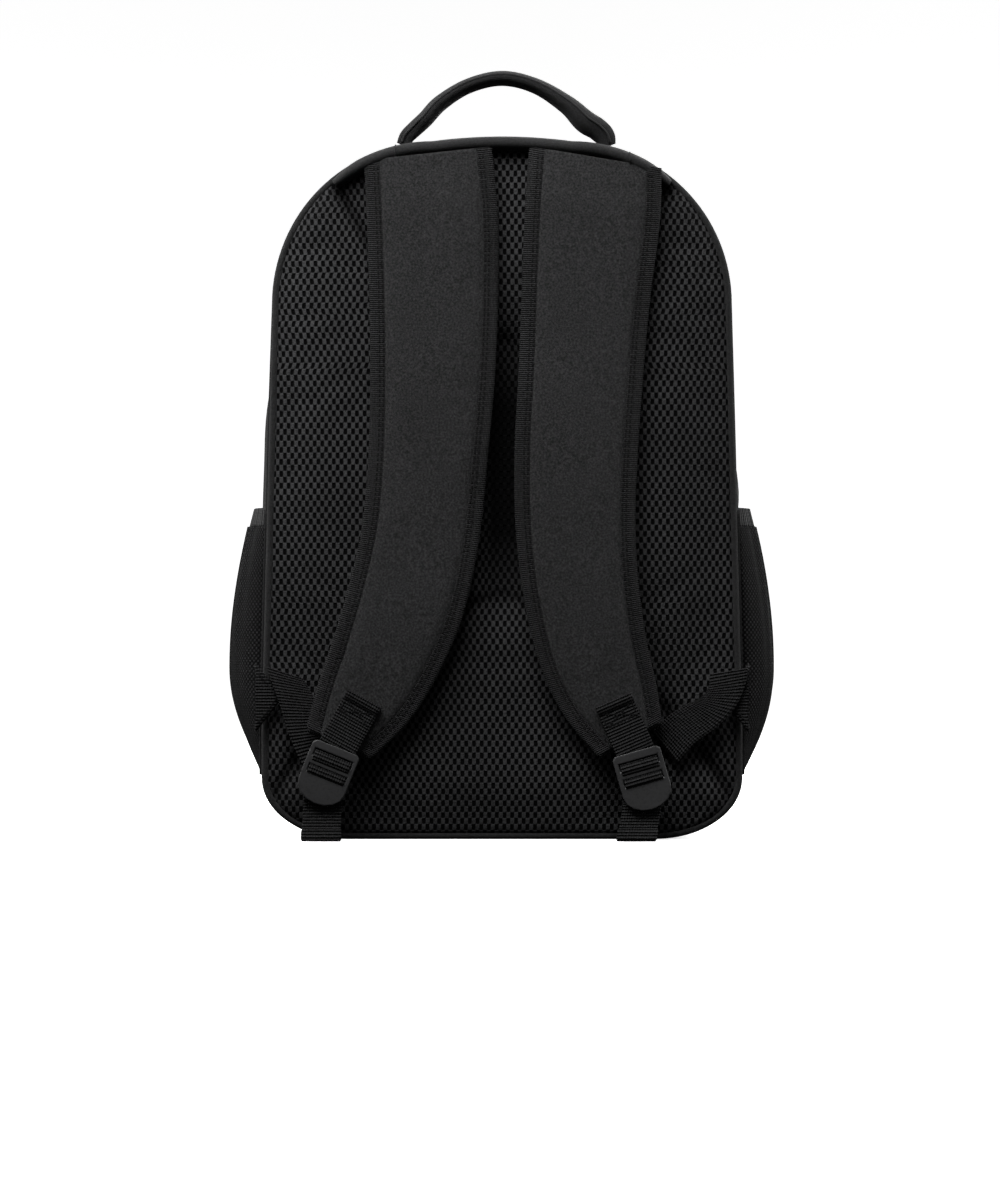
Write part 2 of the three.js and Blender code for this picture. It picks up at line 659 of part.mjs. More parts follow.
/** Padded strip between two cross-lines of a strap, thin at its bound edges. */
function strapPad(rows, from, to, trim) {
  const corner = (row, k) => new THREE.Vector3(row[k], 0, row[k + 1]);
  const curve = (k) => new THREE.CatmullRomCurve3(rows.map((row) => corner(row, k)));
  const [left, right] = [curve(0), curve(2)];
  const stepsPerRow = 2;
  const count = (to - from) * stepsPerRow;
  const last = rows.length - 1;
  const rings = Array.from({ length: count + 1 }, (_, i) => {
    const position = THREE.MathUtils.lerp(from + trim[0], to - trim[1], i / count);
    const a = left.getPoint(position / last);
    const b = right.getPoint(position / last);
    const y = strapY((a.z + b.z) / 2);
    const seam = THREE.MathUtils.clamp(STRAP_SEAM_SHARE + position, 0, 1);
    const width = a.distanceTo(b);
    const ring = (share, depth) => {
      const p = new THREE.Vector3().lerpVectors(a, b, share);
      p.y = y + depth;
      return p;
    };
    const bound = STRAP_BINDING / width;
    const half = (STRAP_THICKNESS / 2) * seam;
    const edge = STRAP_EDGE / 2;
    return [
      ring(0, -edge),
      ring(bound, -half),
      ring(1 - bound, -half),
      ring(1, -edge),
      ring(1, edge),
      ring(1 - bound, half),
      ring(bound, half),
      ring(0, edge),
    ];
  });
  return loft(rings);
}

/** Flat strip of webbing along a line of middle points, with the direction across it at each. */
function ribbon(middle, across) {
  const rings = middle.map((point, i) => {
    const before = middle[Math.max(i - 1, 0)];
    const after = middle[Math.min(i + 1, middle.length - 1)];
    const along = after.clone().sub(before);
    const up = along.cross(across[i]).normalize();
    const at = (a, b) =>
      point
        .clone()
        .addScaledVector(across[i], (a * WEBBING_WIDTH) / 2)
        .addScaledVector(up, (b * WEBBING_THICKNESS) / 2);
    return [at(-1, -1), at(1, -1), at(1, 1), at(-1, 1)];
  });
  return loft(rings);
}

/** Rectangle of [x, z] points about a middle. */
function rectangle(x, z, width, height) {
  return [
    [x - width / 2, z - height / 2],
    [x + width / 2, z - height / 2],
    [x + width / 2, z + height / 2],
    [x - width / 2, z + height / 2],
  ];
}

/** Ladder lock in its own frame: top edge at z = 0, hanging down, with two webbing slots. */
function ladderLock() {
  const { width, length, thickness, slotWidth, slotHeight, bar, lip, chamfer } = LOCK;
  const half = width / 2;
  const lipSteps = 8;
  const lipLine = Array.from({ length: lipSteps + 1 }, (_, k) => {
    const angle = (k / lipSteps) * Math.PI;
    return [-half * Math.cos(angle), lip - length - lip * Math.sin(angle)];
  });
  const top = [
    [half, -chamfer],
    [half - chamfer, 0],
    [chamfer - half, 0],
    [-half, -chamfer],
  ];
  const slots = [0, 1].map((k) => {
    const z = -bar - slotHeight / 2 - k * (slotHeight + bar);
    return rectangle(0, z, slotWidth, slotHeight);
  });
  return plateAlongY([...lipLine, ...top], -thickness / 2, thickness / 2, slots);
}

/** Sewn triangle at the side seam that holds the lower webbing. */
function anchorTab({ anchorX, side }) {
  const { baseZ, topZ, apexReach, apexDrop, y, thickness } = ANCHOR;
  const outline = [
    [anchorX, baseZ],
    [anchorX, topZ],
    [anchorX - side * apexReach, (baseZ + topZ) / 2 - apexDrop],
  ];
  if (side < 0) outline.reverse();
  return plateAlongY(outline, y - thickness / 2, y + thickness / 2);
}

/** Unit vectors down and across something that leans outwards on one side, by an angle in degrees. */
function leaning(side, angle) {
  const lean = THREE.MathUtils.degToRad(angle);
  const down = new THREE.Vector3(side * Math.sin(lean), 0, -Math.cos(lean));
  const across = new THREE.Vector3(Math.cos(lean), 0, side * Math.sin(lean));
  return { down, across };
}

/** Sewn webbing tab on the front of the strap, down to the lock's top bar. */
function strapTab({ side, x, z, tabLean }) {
  const { down, across } = leaning(side, tabLean);
  const front = strapY(z) - STRAP_THICKNESS / 2 - GAP - WEBBING_THICKNESS / 2;
  const end = new THREE.Vector3(x, front, z).addScaledVector(down, -LOCK_SWING_ROOM);
  const top = end.clone().addScaledVector(down, -TAB_LENGTH);
  return ribbon([top, end], [across, across]);
}

/** Webbing from the side seam to behind the lock, all in one plane. */
function lowerWebbing(side, rows) {
  const behind = ANCHOR.y - ANCHOR.thickness / 2 - GAP - WEBBING_THICKNESS / 2 - WEBBING_CLEARANCE;
  const middle = rows.map(([x, z]) => new THREE.Vector3(x, behind, z));
  return ribbon(middle, rows.map(([, , turn]) => leaning(side, turn).across));
}

/** Free end of the webbing, from behind the lock's lower bar down to the floor. */
function webbingTail({ side, x, z, lean, tailX }) {
  const { down, across } = leaning(side, lean);
  const behind = LOCK_Y + LOCK.thickness / 2 + 2 * GAP + WEBBING_THICKNESS / 2;
  const start = new THREE.Vector3(x, behind, z).addScaledVector(down, TAIL.fromLockTop);
  const end = new THREE.Vector3(tailX, TAIL.endY, TAIL.endZ);
  const middle = start.clone().lerp(end, TAIL.levelShare);
  middle.y = behind;
  const level = new THREE.Vector3(1, 0, 0);
  return ribbon([start, middle, end], [across, level, level]);
}

/** One shoulder strap with its tab, ladder lock, lower webbing, anchor tab and webbing tail. */
function buildHarness(name, rows, place, webbingRows) {
  const last = rows.length - 1;
  const upper = strapPad(rows, 0, STRAP_BEND_ROW, [0, STRAP_SPLIT]);
  const lower = strapPad(rows, STRAP_BEND_ROW, last, [STRAP_SPLIT, 0]);
  addPiece(`${name}_strap_upper`, upper, canvas);
  addPiece(`${name}_strap_lower`, lower, canvas);
  addPiece(`${name}_strap_tab`, strapTab(place), webbing);
  const turn = THREE.MathUtils.degToRad(-place.side * place.lean);
  const lock = ladderLock().rotateY(turn).translate(place.x, LOCK_Y, place.z);
  addPiece(`${name}_ladder_lock`, lock, buckle);
  addPiece(`${name}_anchor_tab`, anchorTab(place), webbing);
  addPiece(`${name}_webbing`, lowerWebbing(place.side, webbingRows), webbing);
  addPiece(`${name}_webbing_tail`, webbingTail(place), webbing);
}

/** The carry handle, a padded loop that narrows to its two sewn feet. */
function buildHandle() {
  const rings = HANDLE_LOOP.map(([x, z, thick, deep], i) => {
    const before = HANDLE_LOOP[Math.max(i - 1, 0)];
    const after = HANDLE_LOOP[Math.min(i + 1, HANDLE_LOOP.length - 1)];
    const along = new THREE.Vector2(after[0] - before[0], after[1] - before[1]).normalize();
    return roundSection(x, HANDLE_Y, z, -along.y, along.x, thick, deep);
  });
  addPiece("carry_handle", loft(rings), canvas);
}

buildBack();
buildBody();
buildFrontFlap();
buildPouch();
buildSliders();
buildSidePocket("left", -1);
buildSidePocket("right", 1);
buildHarness("left", LEFT_STRAP, LEFT_LOCK, LEFT_WEBBING);
buildHarness("right", RIGHT_STRAP, RIGHT_LOCK, RIGHT_WEBBING);
buildHandle();

export default backpack;
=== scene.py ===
"""School backpack, seen from the wearer's side: materials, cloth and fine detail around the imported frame.

Lengths are millimetres in the row frame until add_mesh() turns them into metres.
"""

import math

import bpy
import numpy as np
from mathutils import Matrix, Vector


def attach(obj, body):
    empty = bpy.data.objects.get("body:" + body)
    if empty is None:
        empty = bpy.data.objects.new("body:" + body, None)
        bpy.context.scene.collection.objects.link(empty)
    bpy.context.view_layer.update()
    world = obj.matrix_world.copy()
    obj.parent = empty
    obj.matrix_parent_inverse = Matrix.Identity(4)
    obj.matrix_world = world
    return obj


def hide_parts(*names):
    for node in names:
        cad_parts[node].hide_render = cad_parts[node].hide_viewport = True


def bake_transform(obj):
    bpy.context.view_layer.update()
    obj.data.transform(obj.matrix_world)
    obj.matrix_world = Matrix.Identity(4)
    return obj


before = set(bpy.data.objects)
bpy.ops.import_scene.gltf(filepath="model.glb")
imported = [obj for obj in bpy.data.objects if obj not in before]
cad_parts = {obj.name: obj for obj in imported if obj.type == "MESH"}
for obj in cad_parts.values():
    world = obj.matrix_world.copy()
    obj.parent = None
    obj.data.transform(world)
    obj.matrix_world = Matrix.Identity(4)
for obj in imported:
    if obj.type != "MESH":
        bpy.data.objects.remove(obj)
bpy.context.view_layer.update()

MM = 0.001

# ---------------------------------------------------------------- driving dimensions, as in the frame

# A shell's outline: two straight sides, round top corners, a crowned top and a foot with elliptical corners.
# Its cloth parts at split_z; rear_z and front_z are the lower ends of the gussets behind and before the zip.
MAIN = {
    "rear_y": -62, "front_y": 62, "split_z": 70, "rear_z": 70.3, "front_z": 72, "fold_z": 71,
    "foot_z": 0, "foot_run": 57, "foot_rise": 40,
    "rear": {"half_width": 157, "corner_x": 45, "corner_z": 350, "radius": 105, "crown": 3},
    "front": {"half_width": 149, "corner_x": 43, "corner_z": 346, "radius": 97, "crown": -1},
}
POUCH = {
    "rear_y": 62.3, "front_y": 96, "split_z": 106, "rear_z": 106.3, "front_z": 108, "fold_z": 107,
    "foot_z": 77, "foot_run": 26, "foot_rise": 24,
    "rear": {"half_width": 120, "corner_x": 64, "corner_z": 232, "radius": 54, "crown": 2},
    "front": {"half_width": 114, "corner_x": 62, "corner_z": 230, "radius": 50, "crown": 2},
}
MAIN_ZIP_Y = 28.35
POUCH_ZIP_Y = 78.45
ACCESSORY_HALF, ACCESSORY_Y, ACCESSORY_Z = 88, 95.4, 214  # half length and middle of the straight zip
TOOTH_ROW = 2.2
MAIN_TAPE = 7.4
POUCH_TAPE = 4.0

STRAPS = {
    "left": [
        (-89, 441, -7, 450), (-87, 400, -3, 402), (-85.5, 350, -3, 350), (-85, 300, -5, 300),
        (-86, 250, -9.5, 250), (-90, 205, -15, 196), (-98, 168, -25, 148), (-109, 130, -41, 109),
        (-119, 100, -60, 78), (-126, 73, -84, 54),
    ],
    "right": [
        (18, 450, 103, 436), (15, 402, 102, 402), (13, 350, 95.5, 350), (11, 300, 91, 300),
        (8.5, 250, 87.5, 250), (9.5, 200, 86, 206), (15, 155, 88, 166), (25, 114, 93, 130),
        (40, 82, 99, 103), (62, 55, 103, 78),
    ],
}  # cross-lines: left edge x, z and right edge x, z
STRAP_THICKNESS = 12
STRAP_INNER_Y = -73.2
STRAP_STAND_OFF = 10
BINDING = 10
LOCKS = {
    "left": {"side": -1, "x": -106, "z": 61, "lean": 22, "tab_lean": 29, "tail_x": -116.6, "anchor_x": -160},
    "right": {"side": 1, "x": 86, "z": 58.5, "lean": 16, "tab_lean": 23.5, "tail_x": 86.4, "anchor_x": 160},
}
LOWER_WEBBING = {
    "left": [(-141, 109, 18), (-136, 98, 9), (-131, 85, 3), (-125, 68, -8), (-118, 54, -24)],
    "right": [
        (147, 110, 9), (146, 101, 9), (140, 90, -8),
        (129, 80.5, -37), (116, 71.5, -42), (106, 60, -50),
    ],
}  # x and z of the middle, and how far the direction across turns from level
LOWER_WEBBING_Y = -78.8
LOCK_Y = -96
TAB_LENGTH = 33
TAB_ROOM = 3
WEB = 25
OUTLINE_DETAIL = 8  # points along a shell's outline, as a multiple
BAG_MIDDLE_Z = 230
SETTLE_FRAMES = 16
HANDLE_Y = -58
HANDLE_LOOP = [
    (-64.6, 453.2, 4.5, 1.2), (-62, 459, 5, 3), (-57, 464, 5.2, 6), (-50, 470.5, 5.2, 10), (-40, 481, 5, 12),
    (-22, 492, 4.6, 12), (0, 497, 4.6, 12), (22, 492, 4.8, 12), (42, 480, 6, 12),
    (54, 469, 7.5, 10), (62, 464, 7.5, 6), (67, 459, 7, 3), (69.7, 452.6, 5, 1.2),
]  # x, z, half thickness, half depth

# ---------------------------------------------------------------- meshes


def add_mesh(name, points, faces, uv=None, material=None, smooth=True):
    """Mesh object from points in millimetres; uv is one (u, v) in metres for each face corner."""
    mesh = bpy.data.meshes.new(name)
    mesh.from_pydata((np.asarray(points, float).reshape(-1, 3) * MM).tolist(), [], faces)
    if uv is not None:
        layer = mesh.uv_layers.new(name="UVMap")
        layer.data.foreach_set("uv", np.asarray(uv, np.float32).ravel())
    mesh.validate()
    if smooth:
        mesh.shade_smooth()
    obj = bpy.data.objects.new(name, mesh)
    bpy.context.scene.collection.objects.link(obj)
    if material is not None:
        mesh.materials.append(material)
    return obj


def grid(name, points, material=None, loop_rows=False, loop_columns=False, caps=False):
    """Quad sheet through points[row][column]; UV lengths follow the cloth, v along the rows' order."""
    points = np.asarray(points, float)
    rows, columns = points.shape[:2]
    row_count = rows if loop_rows else rows - 1
    column_count = columns if loop_columns else columns - 1
    i, j = np.meshgrid(np.arange(row_count), np.arange(column_count), indexing="ij")
    i2, j2 = (i + 1) % rows, (j + 1) % columns
    quads = np.stack([i * columns + j, i * columns + j2, i2 * columns + j2, i2 * columns + j], -1)
    across = lengths(points, 1, loop_columns).mean(0)
    along = lengths(points, 0, loop_rows).mean(1)
    uv = np.stack([
        np.stack([across[j], along[i]], -1), np.stack([across[j + 1], along[i]], -1),
        np.stack([across[j + 1], along[i + 1]], -1), np.stack([across[j], along[i + 1]], -1),
    ], -2)
    faces = quads.reshape(-1, 4).tolist()
    corners = (uv.reshape(-1, 4, 2) * MM).reshape(-1, 2).tolist()
    if caps and loop_columns:
        for row, flip in ((0, True), (rows - 1, False)):
            ring = [row * columns + k for k in range(columns)]
            faces.append(ring[::-1] if flip else ring)
            corners += [(float(across[k]) * MM, float(along[row]) * MM) for k in range(columns)]
    obj = add_mesh(name, points, faces, corners, material)
    outward(obj)
    return obj


def unit(vectors):
    """The vectors at length one."""
    return vectors / np.maximum(np.linalg.norm(vectors, axis=-1, keepdims=True), 1e-9)


def circle(count):
    """Angles once round, evenly spaced."""
    return np.arange(count) / count * 2 * math.pi


def lengths(points, axis, looped=False):
    """Running length along an axis of a point grid, with the closing step added for a loop."""
    moved = np.concatenate([points, points.take([0], axis)], axis) if looped else points
    steps = np.linalg.norm(np.diff(moved, axis=axis), axis=-1)
    start = np.zeros_like(steps.take([0], axis))
    return np.concatenate([start, np.cumsum(steps, axis)], axis)


def coordinates(mesh):
    """The mesh's points as an array, in metres."""
    flat = np.empty(len(mesh.vertices) * 3, np.float32)
    mesh.vertices.foreach_get("co", flat)
    return flat.reshape(-1, 3)


def triangles(mesh):
    """Corner positions of every triangle, as three arrays."""
    mesh.calc_loop_triangles()
    flat = np.empty(len(mesh.loop_triangles) * 3, np.int32)
    mesh.loop_triangles.foreach_get("vertices", flat)
    corners = coordinates(mesh)[flat.reshape(-1, 3)]
    return corners[:, 0], corners[:, 1], corners[:, 2]


def outward(obj):
    """Turns the faces away from the mesh's middle."""
    a, b, c = triangles(obj.data)
    middle = coordinates(obj.data).mean(0)
    if np.einsum("ij,ij->i", a - middle, np.cross(b - middle, c - middle)).sum() < 0:
        obj.data.flip_normals()


def face_towards(obj, direction):
    """Turns the faces of a flat sheet so that most of them look along a direction."""
    a, b, c = triangles(obj.data)
    if (np.cross(b - a, c - a) @ np.array(direction, float)).sum() < 0:
        obj.data.flip_normals()


def at_depth(xz, y):
    """Points (x, y, z) from points (x, z) and one depth or a depth for each."""
    return np.stack([xz[..., 0], np.broadcast_to(y, xz.shape[:-1]), xz[..., 1]], -1)


def steps_along(line, start, end, pitch):
    """Points a pitch apart along a line, clear of its two ends, and the line's direction at each."""
    run = lengths(line, 0)
    stops = np.arange(start, run[-1] - end, pitch)
    at, ahead = (
        np.stack([np.interp(stops + more, run, line[:, k]) for k in range(3)], 1) for more in (0, 0.5)
    )
    return at, unit(ahead - at)


def modifier(obj, kind, **settings):
    made = obj.modifiers.new(kind.title(), kind)
    for key, value in settings.items():
        setattr(made, key, value)
    return made


def thicken(obj, thickness):
    """Gives an open sheet its cloth thickness, inwards."""
    return modifier(obj, "SOLIDIFY", thickness=thickness * MM, offset=-1, use_even_offset=False)


def spline(points, count):
    """Smooth Catmull-Rom curve through the points, evenly spaced in parameter."""
    p = np.asarray(points, float)
    t = np.linspace(0, len(p) - 1, count)
    k = np.minimum(t.astype(int), len(p) - 2)
    f = (t - k)[:, None]
    p = np.concatenate([[2 * p[0] - p[1]], p, [2 * p[-1] - p[-2]]])
    a, b, c, d = p[k], p[k + 1], p[k + 2], p[k + 3]
    return 0.5 * (2 * b + (c - a) * f + (2 * a - 5 * b + 4 * c - d) * f**2 + (3 * b - a - 3 * c + d) * f**3)


def tube(name, path, radius, material, sides=10, closed=False, side_hint=(0, 1, 0), flat=1.0):
    """Round or flattened tube along a path; radius and flatness may vary along it."""
    path = np.asarray(path, float)
    if closed:
        along = np.roll(path, -1, 0) - np.roll(path, 1, 0)
    else:
        along = np.gradient(path, axis=0)
    along = unit(along)
    side = np.broadcast_to(np.asarray(side_hint, float), path.shape)
    side = unit(side - (side * along).sum(1, keepdims=True) * along)
    up = np.cross(along, side)
    radius = np.broadcast_to(np.asarray(radius, float), len(path))[:, None, None]
    flat = np.broadcast_to(np.asarray(flat, float), len(path))[:, None, None]
    angle = circle(sides)
    ring = np.cos(angle)[None, :, None] * side[:, None] * flat + np.sin(angle)[None, :, None] * up[:, None]
    return grid(name, path[:, None] + radius * ring, material, closed, True, caps=not closed)


def blocks(name, centres, axes, sizes, material, taper=0.7):
    """Many small rounded blocks, such as stitches or zip teeth: one tapered eight-cornered block each."""
    centres, axes, sizes = (np.asarray(v, float) for v in (centres, axes, sizes))
    sizes = np.broadcast_to(sizes, (len(centres), 3))
    signs = np.array([(x, y, z) for z in (-1, 1) for x, y in ((-1, -1), (1, -1), (1, 1), (-1, 1))], float)
    shrink = np.where(signs[:, 2:] > 0, taper, 1.0) * np.array([1, 1, 0]) + np.array([0, 0, 1])
    local = (signs * shrink)[None] * sizes[:, None] / 2
    points = centres[:, None] + np.einsum("nki,nij->nkj", local, axes)
    pattern = np.array([(3, 2, 1, 0), (4, 5, 6, 7), (0, 1, 5, 4), (1, 2, 6, 5), (2, 3, 7, 6), (3, 0, 4, 7)])
    faces = (np.arange(len(centres))[:, None, None] * 8 + pattern[None]).reshape(-1, 4)
    corner_uv = np.tile([(0, 0), (1, 0), (1, 1), (0, 1)], (len(faces), 1)) * MM
    return add_mesh(name, points, faces.tolist(), corner_uv, material, smooth=False)


# ---------------------------------------------------------------- materials

# Painted shade: the weave and rib patterns lay this colour into the low parts of their relief; in the nets it
# fills the holes, standing for the dark layer under the net together with its shade.
DEEPEST = (0.0008, 0.0008, 0.0009, 1)  # colour down in a weave or a hole


def node(tree, kind, inputs=None, **settings):
    """Adds a node, sets its properties, and links or fills its inputs; returns the node."""
    made = tree.nodes.new(kind)
    for key, value in settings.items():
        setattr(made, key, value)
    for key, value in (inputs or {}).items():
        if isinstance(value, bpy.types.NodeSocket):
            tree.links.new(value, made.inputs[key])
        else:
            made.inputs[key].default_value = value
    return made


def calc(tree, operation, *values):
    """Output of a Math node."""
    return node(tree, "ShaderNodeMath", dict(enumerate(values)), operation=operation).outputs[0]


def between(tree, value, low, high):
    """Runs from 0 at low to 1 at high, held outside them."""
    settings = {"Value": value, "From Min": low, "From Max": high}
    return node(tree, "ShaderNodeMapRange", settings).outputs[0]


def noise(tree, place, scale, detail=2.0):
    settings = {"Vector": place, "Scale": scale, "Detail": detail}
    return node(tree, "ShaderNodeTexNoise", settings).outputs["Fac"]


def cloth_coordinates(tree):
    """Cloth lengths in metres from the UV map: across and along."""
    uv = node(tree, "ShaderNodeUVMap", uv_map="UVMap").outputs[0]
    split = node(tree, "ShaderNodeSeparateXYZ", {0: uv})
    return split.outputs[0], split.outputs[1]


def wave(tree, value, pitch, shape="SINE"):
    """Wave along a length, with its pitch in millimetres."""
    return calc(tree, shape, calc(tree, "MULTIPLY", value, 2 * math.pi / (pitch * MM)))


def finish(name, dark, light, pattern, depth, roughness, sheen=0.0, specular=0.3, fleck=0.5, metallic=0.0):
    """Material between two greys; pattern(tree, grain) returns its relief and where it is not dark, which in
    weaves and ribs paints shade into the low parts of the relief and in nets marks the holes.
    """
    material = bpy.data.materials.new(name)
    material.use_nodes = True
    tree = material.node_tree
    shader = tree.nodes["Principled BSDF"]
    shader.inputs["Specular IOR Level"].default_value = specular
    shader.inputs["Sheen Weight"].default_value = sheen
    shader.inputs["Sheen Roughness"].default_value = 0.5
    shader.inputs["Metallic"].default_value = metallic
    place = node(tree, "ShaderNodeTexCoord").outputs["Object"]
    broad = noise(tree, place, 11.0, 3.0)
    grain = noise(tree, place, 800.0)
    relief, shade = pattern(tree, grain)
    worn = calc(tree, "ADD", calc(tree, "MULTIPLY", broad, 1 - fleck), calc(tree, "MULTIPLY", grain, fleck))
    share = between(tree, worn, 0.32, 0.68)
    pale = node(tree, "ShaderNodeMix", {0: share, 6: grey(dark), 7: grey(light)}, data_type="RGBA").outputs[2]
    tint = node(tree, "ShaderNodeMix", {0: shade, 6: DEEPEST, 7: pale}, data_type="RGBA")
    tree.links.new(tint.outputs[2], shader.inputs["Base Color"])
    rough = calc(tree, "ADD", calc(tree, "MULTIPLY", broad, 0.16), roughness - 0.08)
    tree.links.new(rough, shader.inputs["Roughness"])
    bump = node(tree, "ShaderNodeBump", {"Height": relief, "Strength": 1.0, "Distance": depth * MM})
    tree.links.new(bump.outputs[0], shader.inputs["Normal"])
    return material


def grey(value):
    """Neutral grey, very slightly cool."""
    return (value, value, value * 1.03, 1)


def weave(pitch):
    """Plain weave of that pitch with uneven threads."""
    def pattern(tree, grain):
        u, v = cloth_coordinates(tree)
        crossing = calc(tree, "MULTIPLY", wave(tree, u, pitch), wave(tree, v, pitch))
        relief = calc(tree, "ADD", crossing, calc(tree, "MULTIPLY", grain, 2.5))
        # The darker share follows the relief: painted shade between the threads, with random tone from the
        # grain.
        return relief, between(tree, relief, -1.2, 1.6)
    return pattern


def net(pitch_u, pitch_v, solid_at, hole_at):
    """Knitted net: holes at the corners and the middle of each cell."""
    def pattern(tree, grain):
        u, v = cloth_coordinates(tree)
        peak = calc(tree, "MULTIPLY", wave(tree, u, pitch_u, "COSINE"), wave(tree, v, pitch_v, "COSINE"))
        solid = between(tree, calc(tree, "ADD", peak, calc(tree, "MULTIPLY", grain, 0.15)), hole_at, solid_at)
        strand = calc(tree, "MULTIPLY", wave(tree, u, pitch_u / 6), 0.08)
        relief = calc(tree, "ADD", solid, calc(tree, "ADD", strand, calc(tree, "MULTIPLY", grain, 0.4)))
        return relief, solid
    return pattern


def with_painted_recess_shade(pattern):
    """The same pattern with painted shade: darker where the mesh's recess value says that it lies deep in a
    seam or down the channel.
    """
    def shaded_in_recesses(tree, grain):
        relief, shade = pattern(tree, grain)
        depth = node(tree, "ShaderNodeAttribute", attribute_name="recess").outputs["Fac"]
        return relief, calc(tree, "MULTIPLY", shade, calc(tree, "SUBTRACT", 1.0, depth))
    return shaded_in_recesses


def ribs(pitch, thread, ribs_run="across"):
    """Webbing or tape: round ribs, with finer threads across them."""
    def pattern(tree, grain):
        u, v = cloth_coordinates(tree)
        along, across = (v, u) if ribs_run == "across" else (u, v)
        rib = wave(tree, along, pitch)
        fine = calc(tree, "MULTIPLY", wave(tree, across, thread), 0.5)
        relief = calc(tree, "ADD", calc(tree, "ADD", rib, fine), calc(tree, "MULTIPLY", grain, 1.2))
        # The darker share follows the relief: painted shade in the valleys between the ribs, with random tone
        # from the grain.
        return relief, between(tree, relief, -1.4, 1.6)
    return pattern


def smooth(tree, grain):
    """Moulded or painted surface, with only its grain."""
    return grain, between(tree, grain, -0.6, 0.5)


def build_materials():
    """The looks by name: two greys, pattern, relief in millimetres, roughness, sheen."""
    # The back net's pattern takes painted shade from the skin's recess value.
    back_holes_and_shade = with_painted_recess_shade(net(5.0, 7.8, -0.1, 0.4))
    pocket_holes = net(2.5, 3.4, -0.4, 0.1)
    return {
        "canvas": finish("canvas", 0.008, 0.020, weave(0.75), 0.14, 0.85, 0.02, specular=0.2),
        "strap": finish("strap_canvas", 0.007, 0.042, weave(0.62), 0.22, 0.9, 0.02, specular=0.2, fleck=0.8),
        "back_net": finish("back_net", 0.020, 0.050, back_holes_and_shade, 1.2, 0.9, specular=0.06),
        "pocket_net": finish("pocket_net", 0.004, 0.030, pocket_holes, 0.6, 0.8, specular=0.08),
        "binding": finish("binding_tape", 0.009, 0.036, ribs(1.3, 1.0), 0.4, 0.9, specular=0.15),
        "webbing": finish("webbing", 0.003, 0.026, ribs(2.0, 1.6), 0.7, 0.8, specular=0.15),
        "elastic": finish("elastic", 0.009, 0.018, ribs(2.0, 1.0, "along"), 0.3, 0.8, 0.03),
        "zip_tape": finish("zip_tape", 0.010, 0.018, ribs(0.9, 0.9), 0.1, 0.85, 0.03),
        "coil": finish("zip_coil", 0.012, 0.020, smooth, 0.03, 0.4, specular=0.5),
        "thread": finish("thread", 0.003, 0.008, smooth, 0.05, 0.8, specular=0.1),
        "buckle": finish("buckle_plastic", 0.018, 0.026, smooth, 0.05, 0.45, specular=0.35, fleck=0.4),
        "metal": finish("painted_zip_metal", 0.03, 0.05, smooth, 0.02, 0.32, metallic=0.85),
        "lining": finish("lining", 0.06, 0.085, weave(0.5), 0.05, 0.6),
        "board": finish("board", 0.1, 0.13, smooth, 0.08, 0.6),
    }


LOOK = build_materials()


# ---------------------------------------------------------------- placing pieces


def place(obj, body, slot, replaced=()):
    """Puts a piece on its body and hides the CAD nodes that it stands for; the slot is not used."""
    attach(obj, body)
    if replaced:
        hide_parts(*replaced)
    return obj


def lined(obj, thickness):
    """Gives an open sheet its thickness, with lining on the inner face."""
    obj.data.materials.append(LOOK["lining"])
    made = thicken(obj, thickness)
    made.material_offset = 1
    return obj


def bevelled_copy(node_name, name, look, body, slot, radius):
    """The CAD node's own solid with rounded edges."""
    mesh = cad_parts[node_name].data.copy()
    mesh.name = name
    mesh.materials.clear()
    mesh.materials.append(LOOK[look])
    obj = bpy.data.objects.new(name, mesh)
    bpy.context.scene.collection.objects.link(obj)
    modifier(obj, "WELD", merge_threshold=0.01 * MM)
    modifier(obj, "BEVEL", width=radius * MM, segments=3, limit_method="ANGLE", angle_limit=0.6)
    return place(obj, body, slot, [node_name])


CLOTH_SETTINGS = {
    "vertex_group_mass": "pinned", "quality": 5, "mass": 0.15, "use_pressure": True,
    "tension_stiffness": 12, "compression_stiffness": 12, "shear_stiffness": 4, "bending_stiffness": 0.15,
}


def settle(obj, pinned, pressure, slack, cap):
    """Cloth simulation on an open sheet: the pinned points stay and the rest swells into its slack."""
    group = obj.vertex_groups.new(name="pinned")
    group.add([int(i) for i in np.flatnonzero(pinned)], 1.0, "REPLACE")
    start = coordinates(obj.data)
    cloth = modifier(obj, "CLOTH")
    for key, value in CLOTH_SETTINGS.items():
        setattr(cloth.settings, key, value)
    cloth.settings.uniform_pressure_force = pressure
    cloth.settings.shrink_min = -slack
    cloth.settings.effector_weights.gravity = 0
    cloth.collision_settings.use_collision = False
    cloth.point_cache.frame_start = 1
    cloth.point_cache.frame_end = SETTLE_FRAMES
    for step in range(1, SETTLE_FRAMES + 1):
        bpy.context.scene.frame_set(step)
    evaluated = obj.evaluated_get(bpy.context.evaluated_depsgraph_get())
    moved = coordinates(evaluated.data) - start
    length = np.linalg.norm(moved, axis=1, keepdims=True)
    moved *= np.minimum(1, cap * MM / np.maximum(length, 1e-9))
    obj.modifiers.remove(cloth)
    obj.vertex_groups.remove(group)
    obj.data.vertices.foreach_set("co", (start + moved).ravel())
    obj.data.update()
    bpy.context.scene.frame_set(1)


# ---------------------------------------------------------------- shell outlines


def section(shell, y, inset):
    """The measures of a shell's outline at depth y, moved inwards by inset."""
    share = (y - shell["rear_y"]) / (shell["front_y"] - shell["rear_y"])
    s = {k: shell["rear"][k] + (shell["front"][k] - shell["rear"][k]) * share for k in shell["rear"]}
    s["half_width"] -= inset
    s["radius"] -= inset
    return s


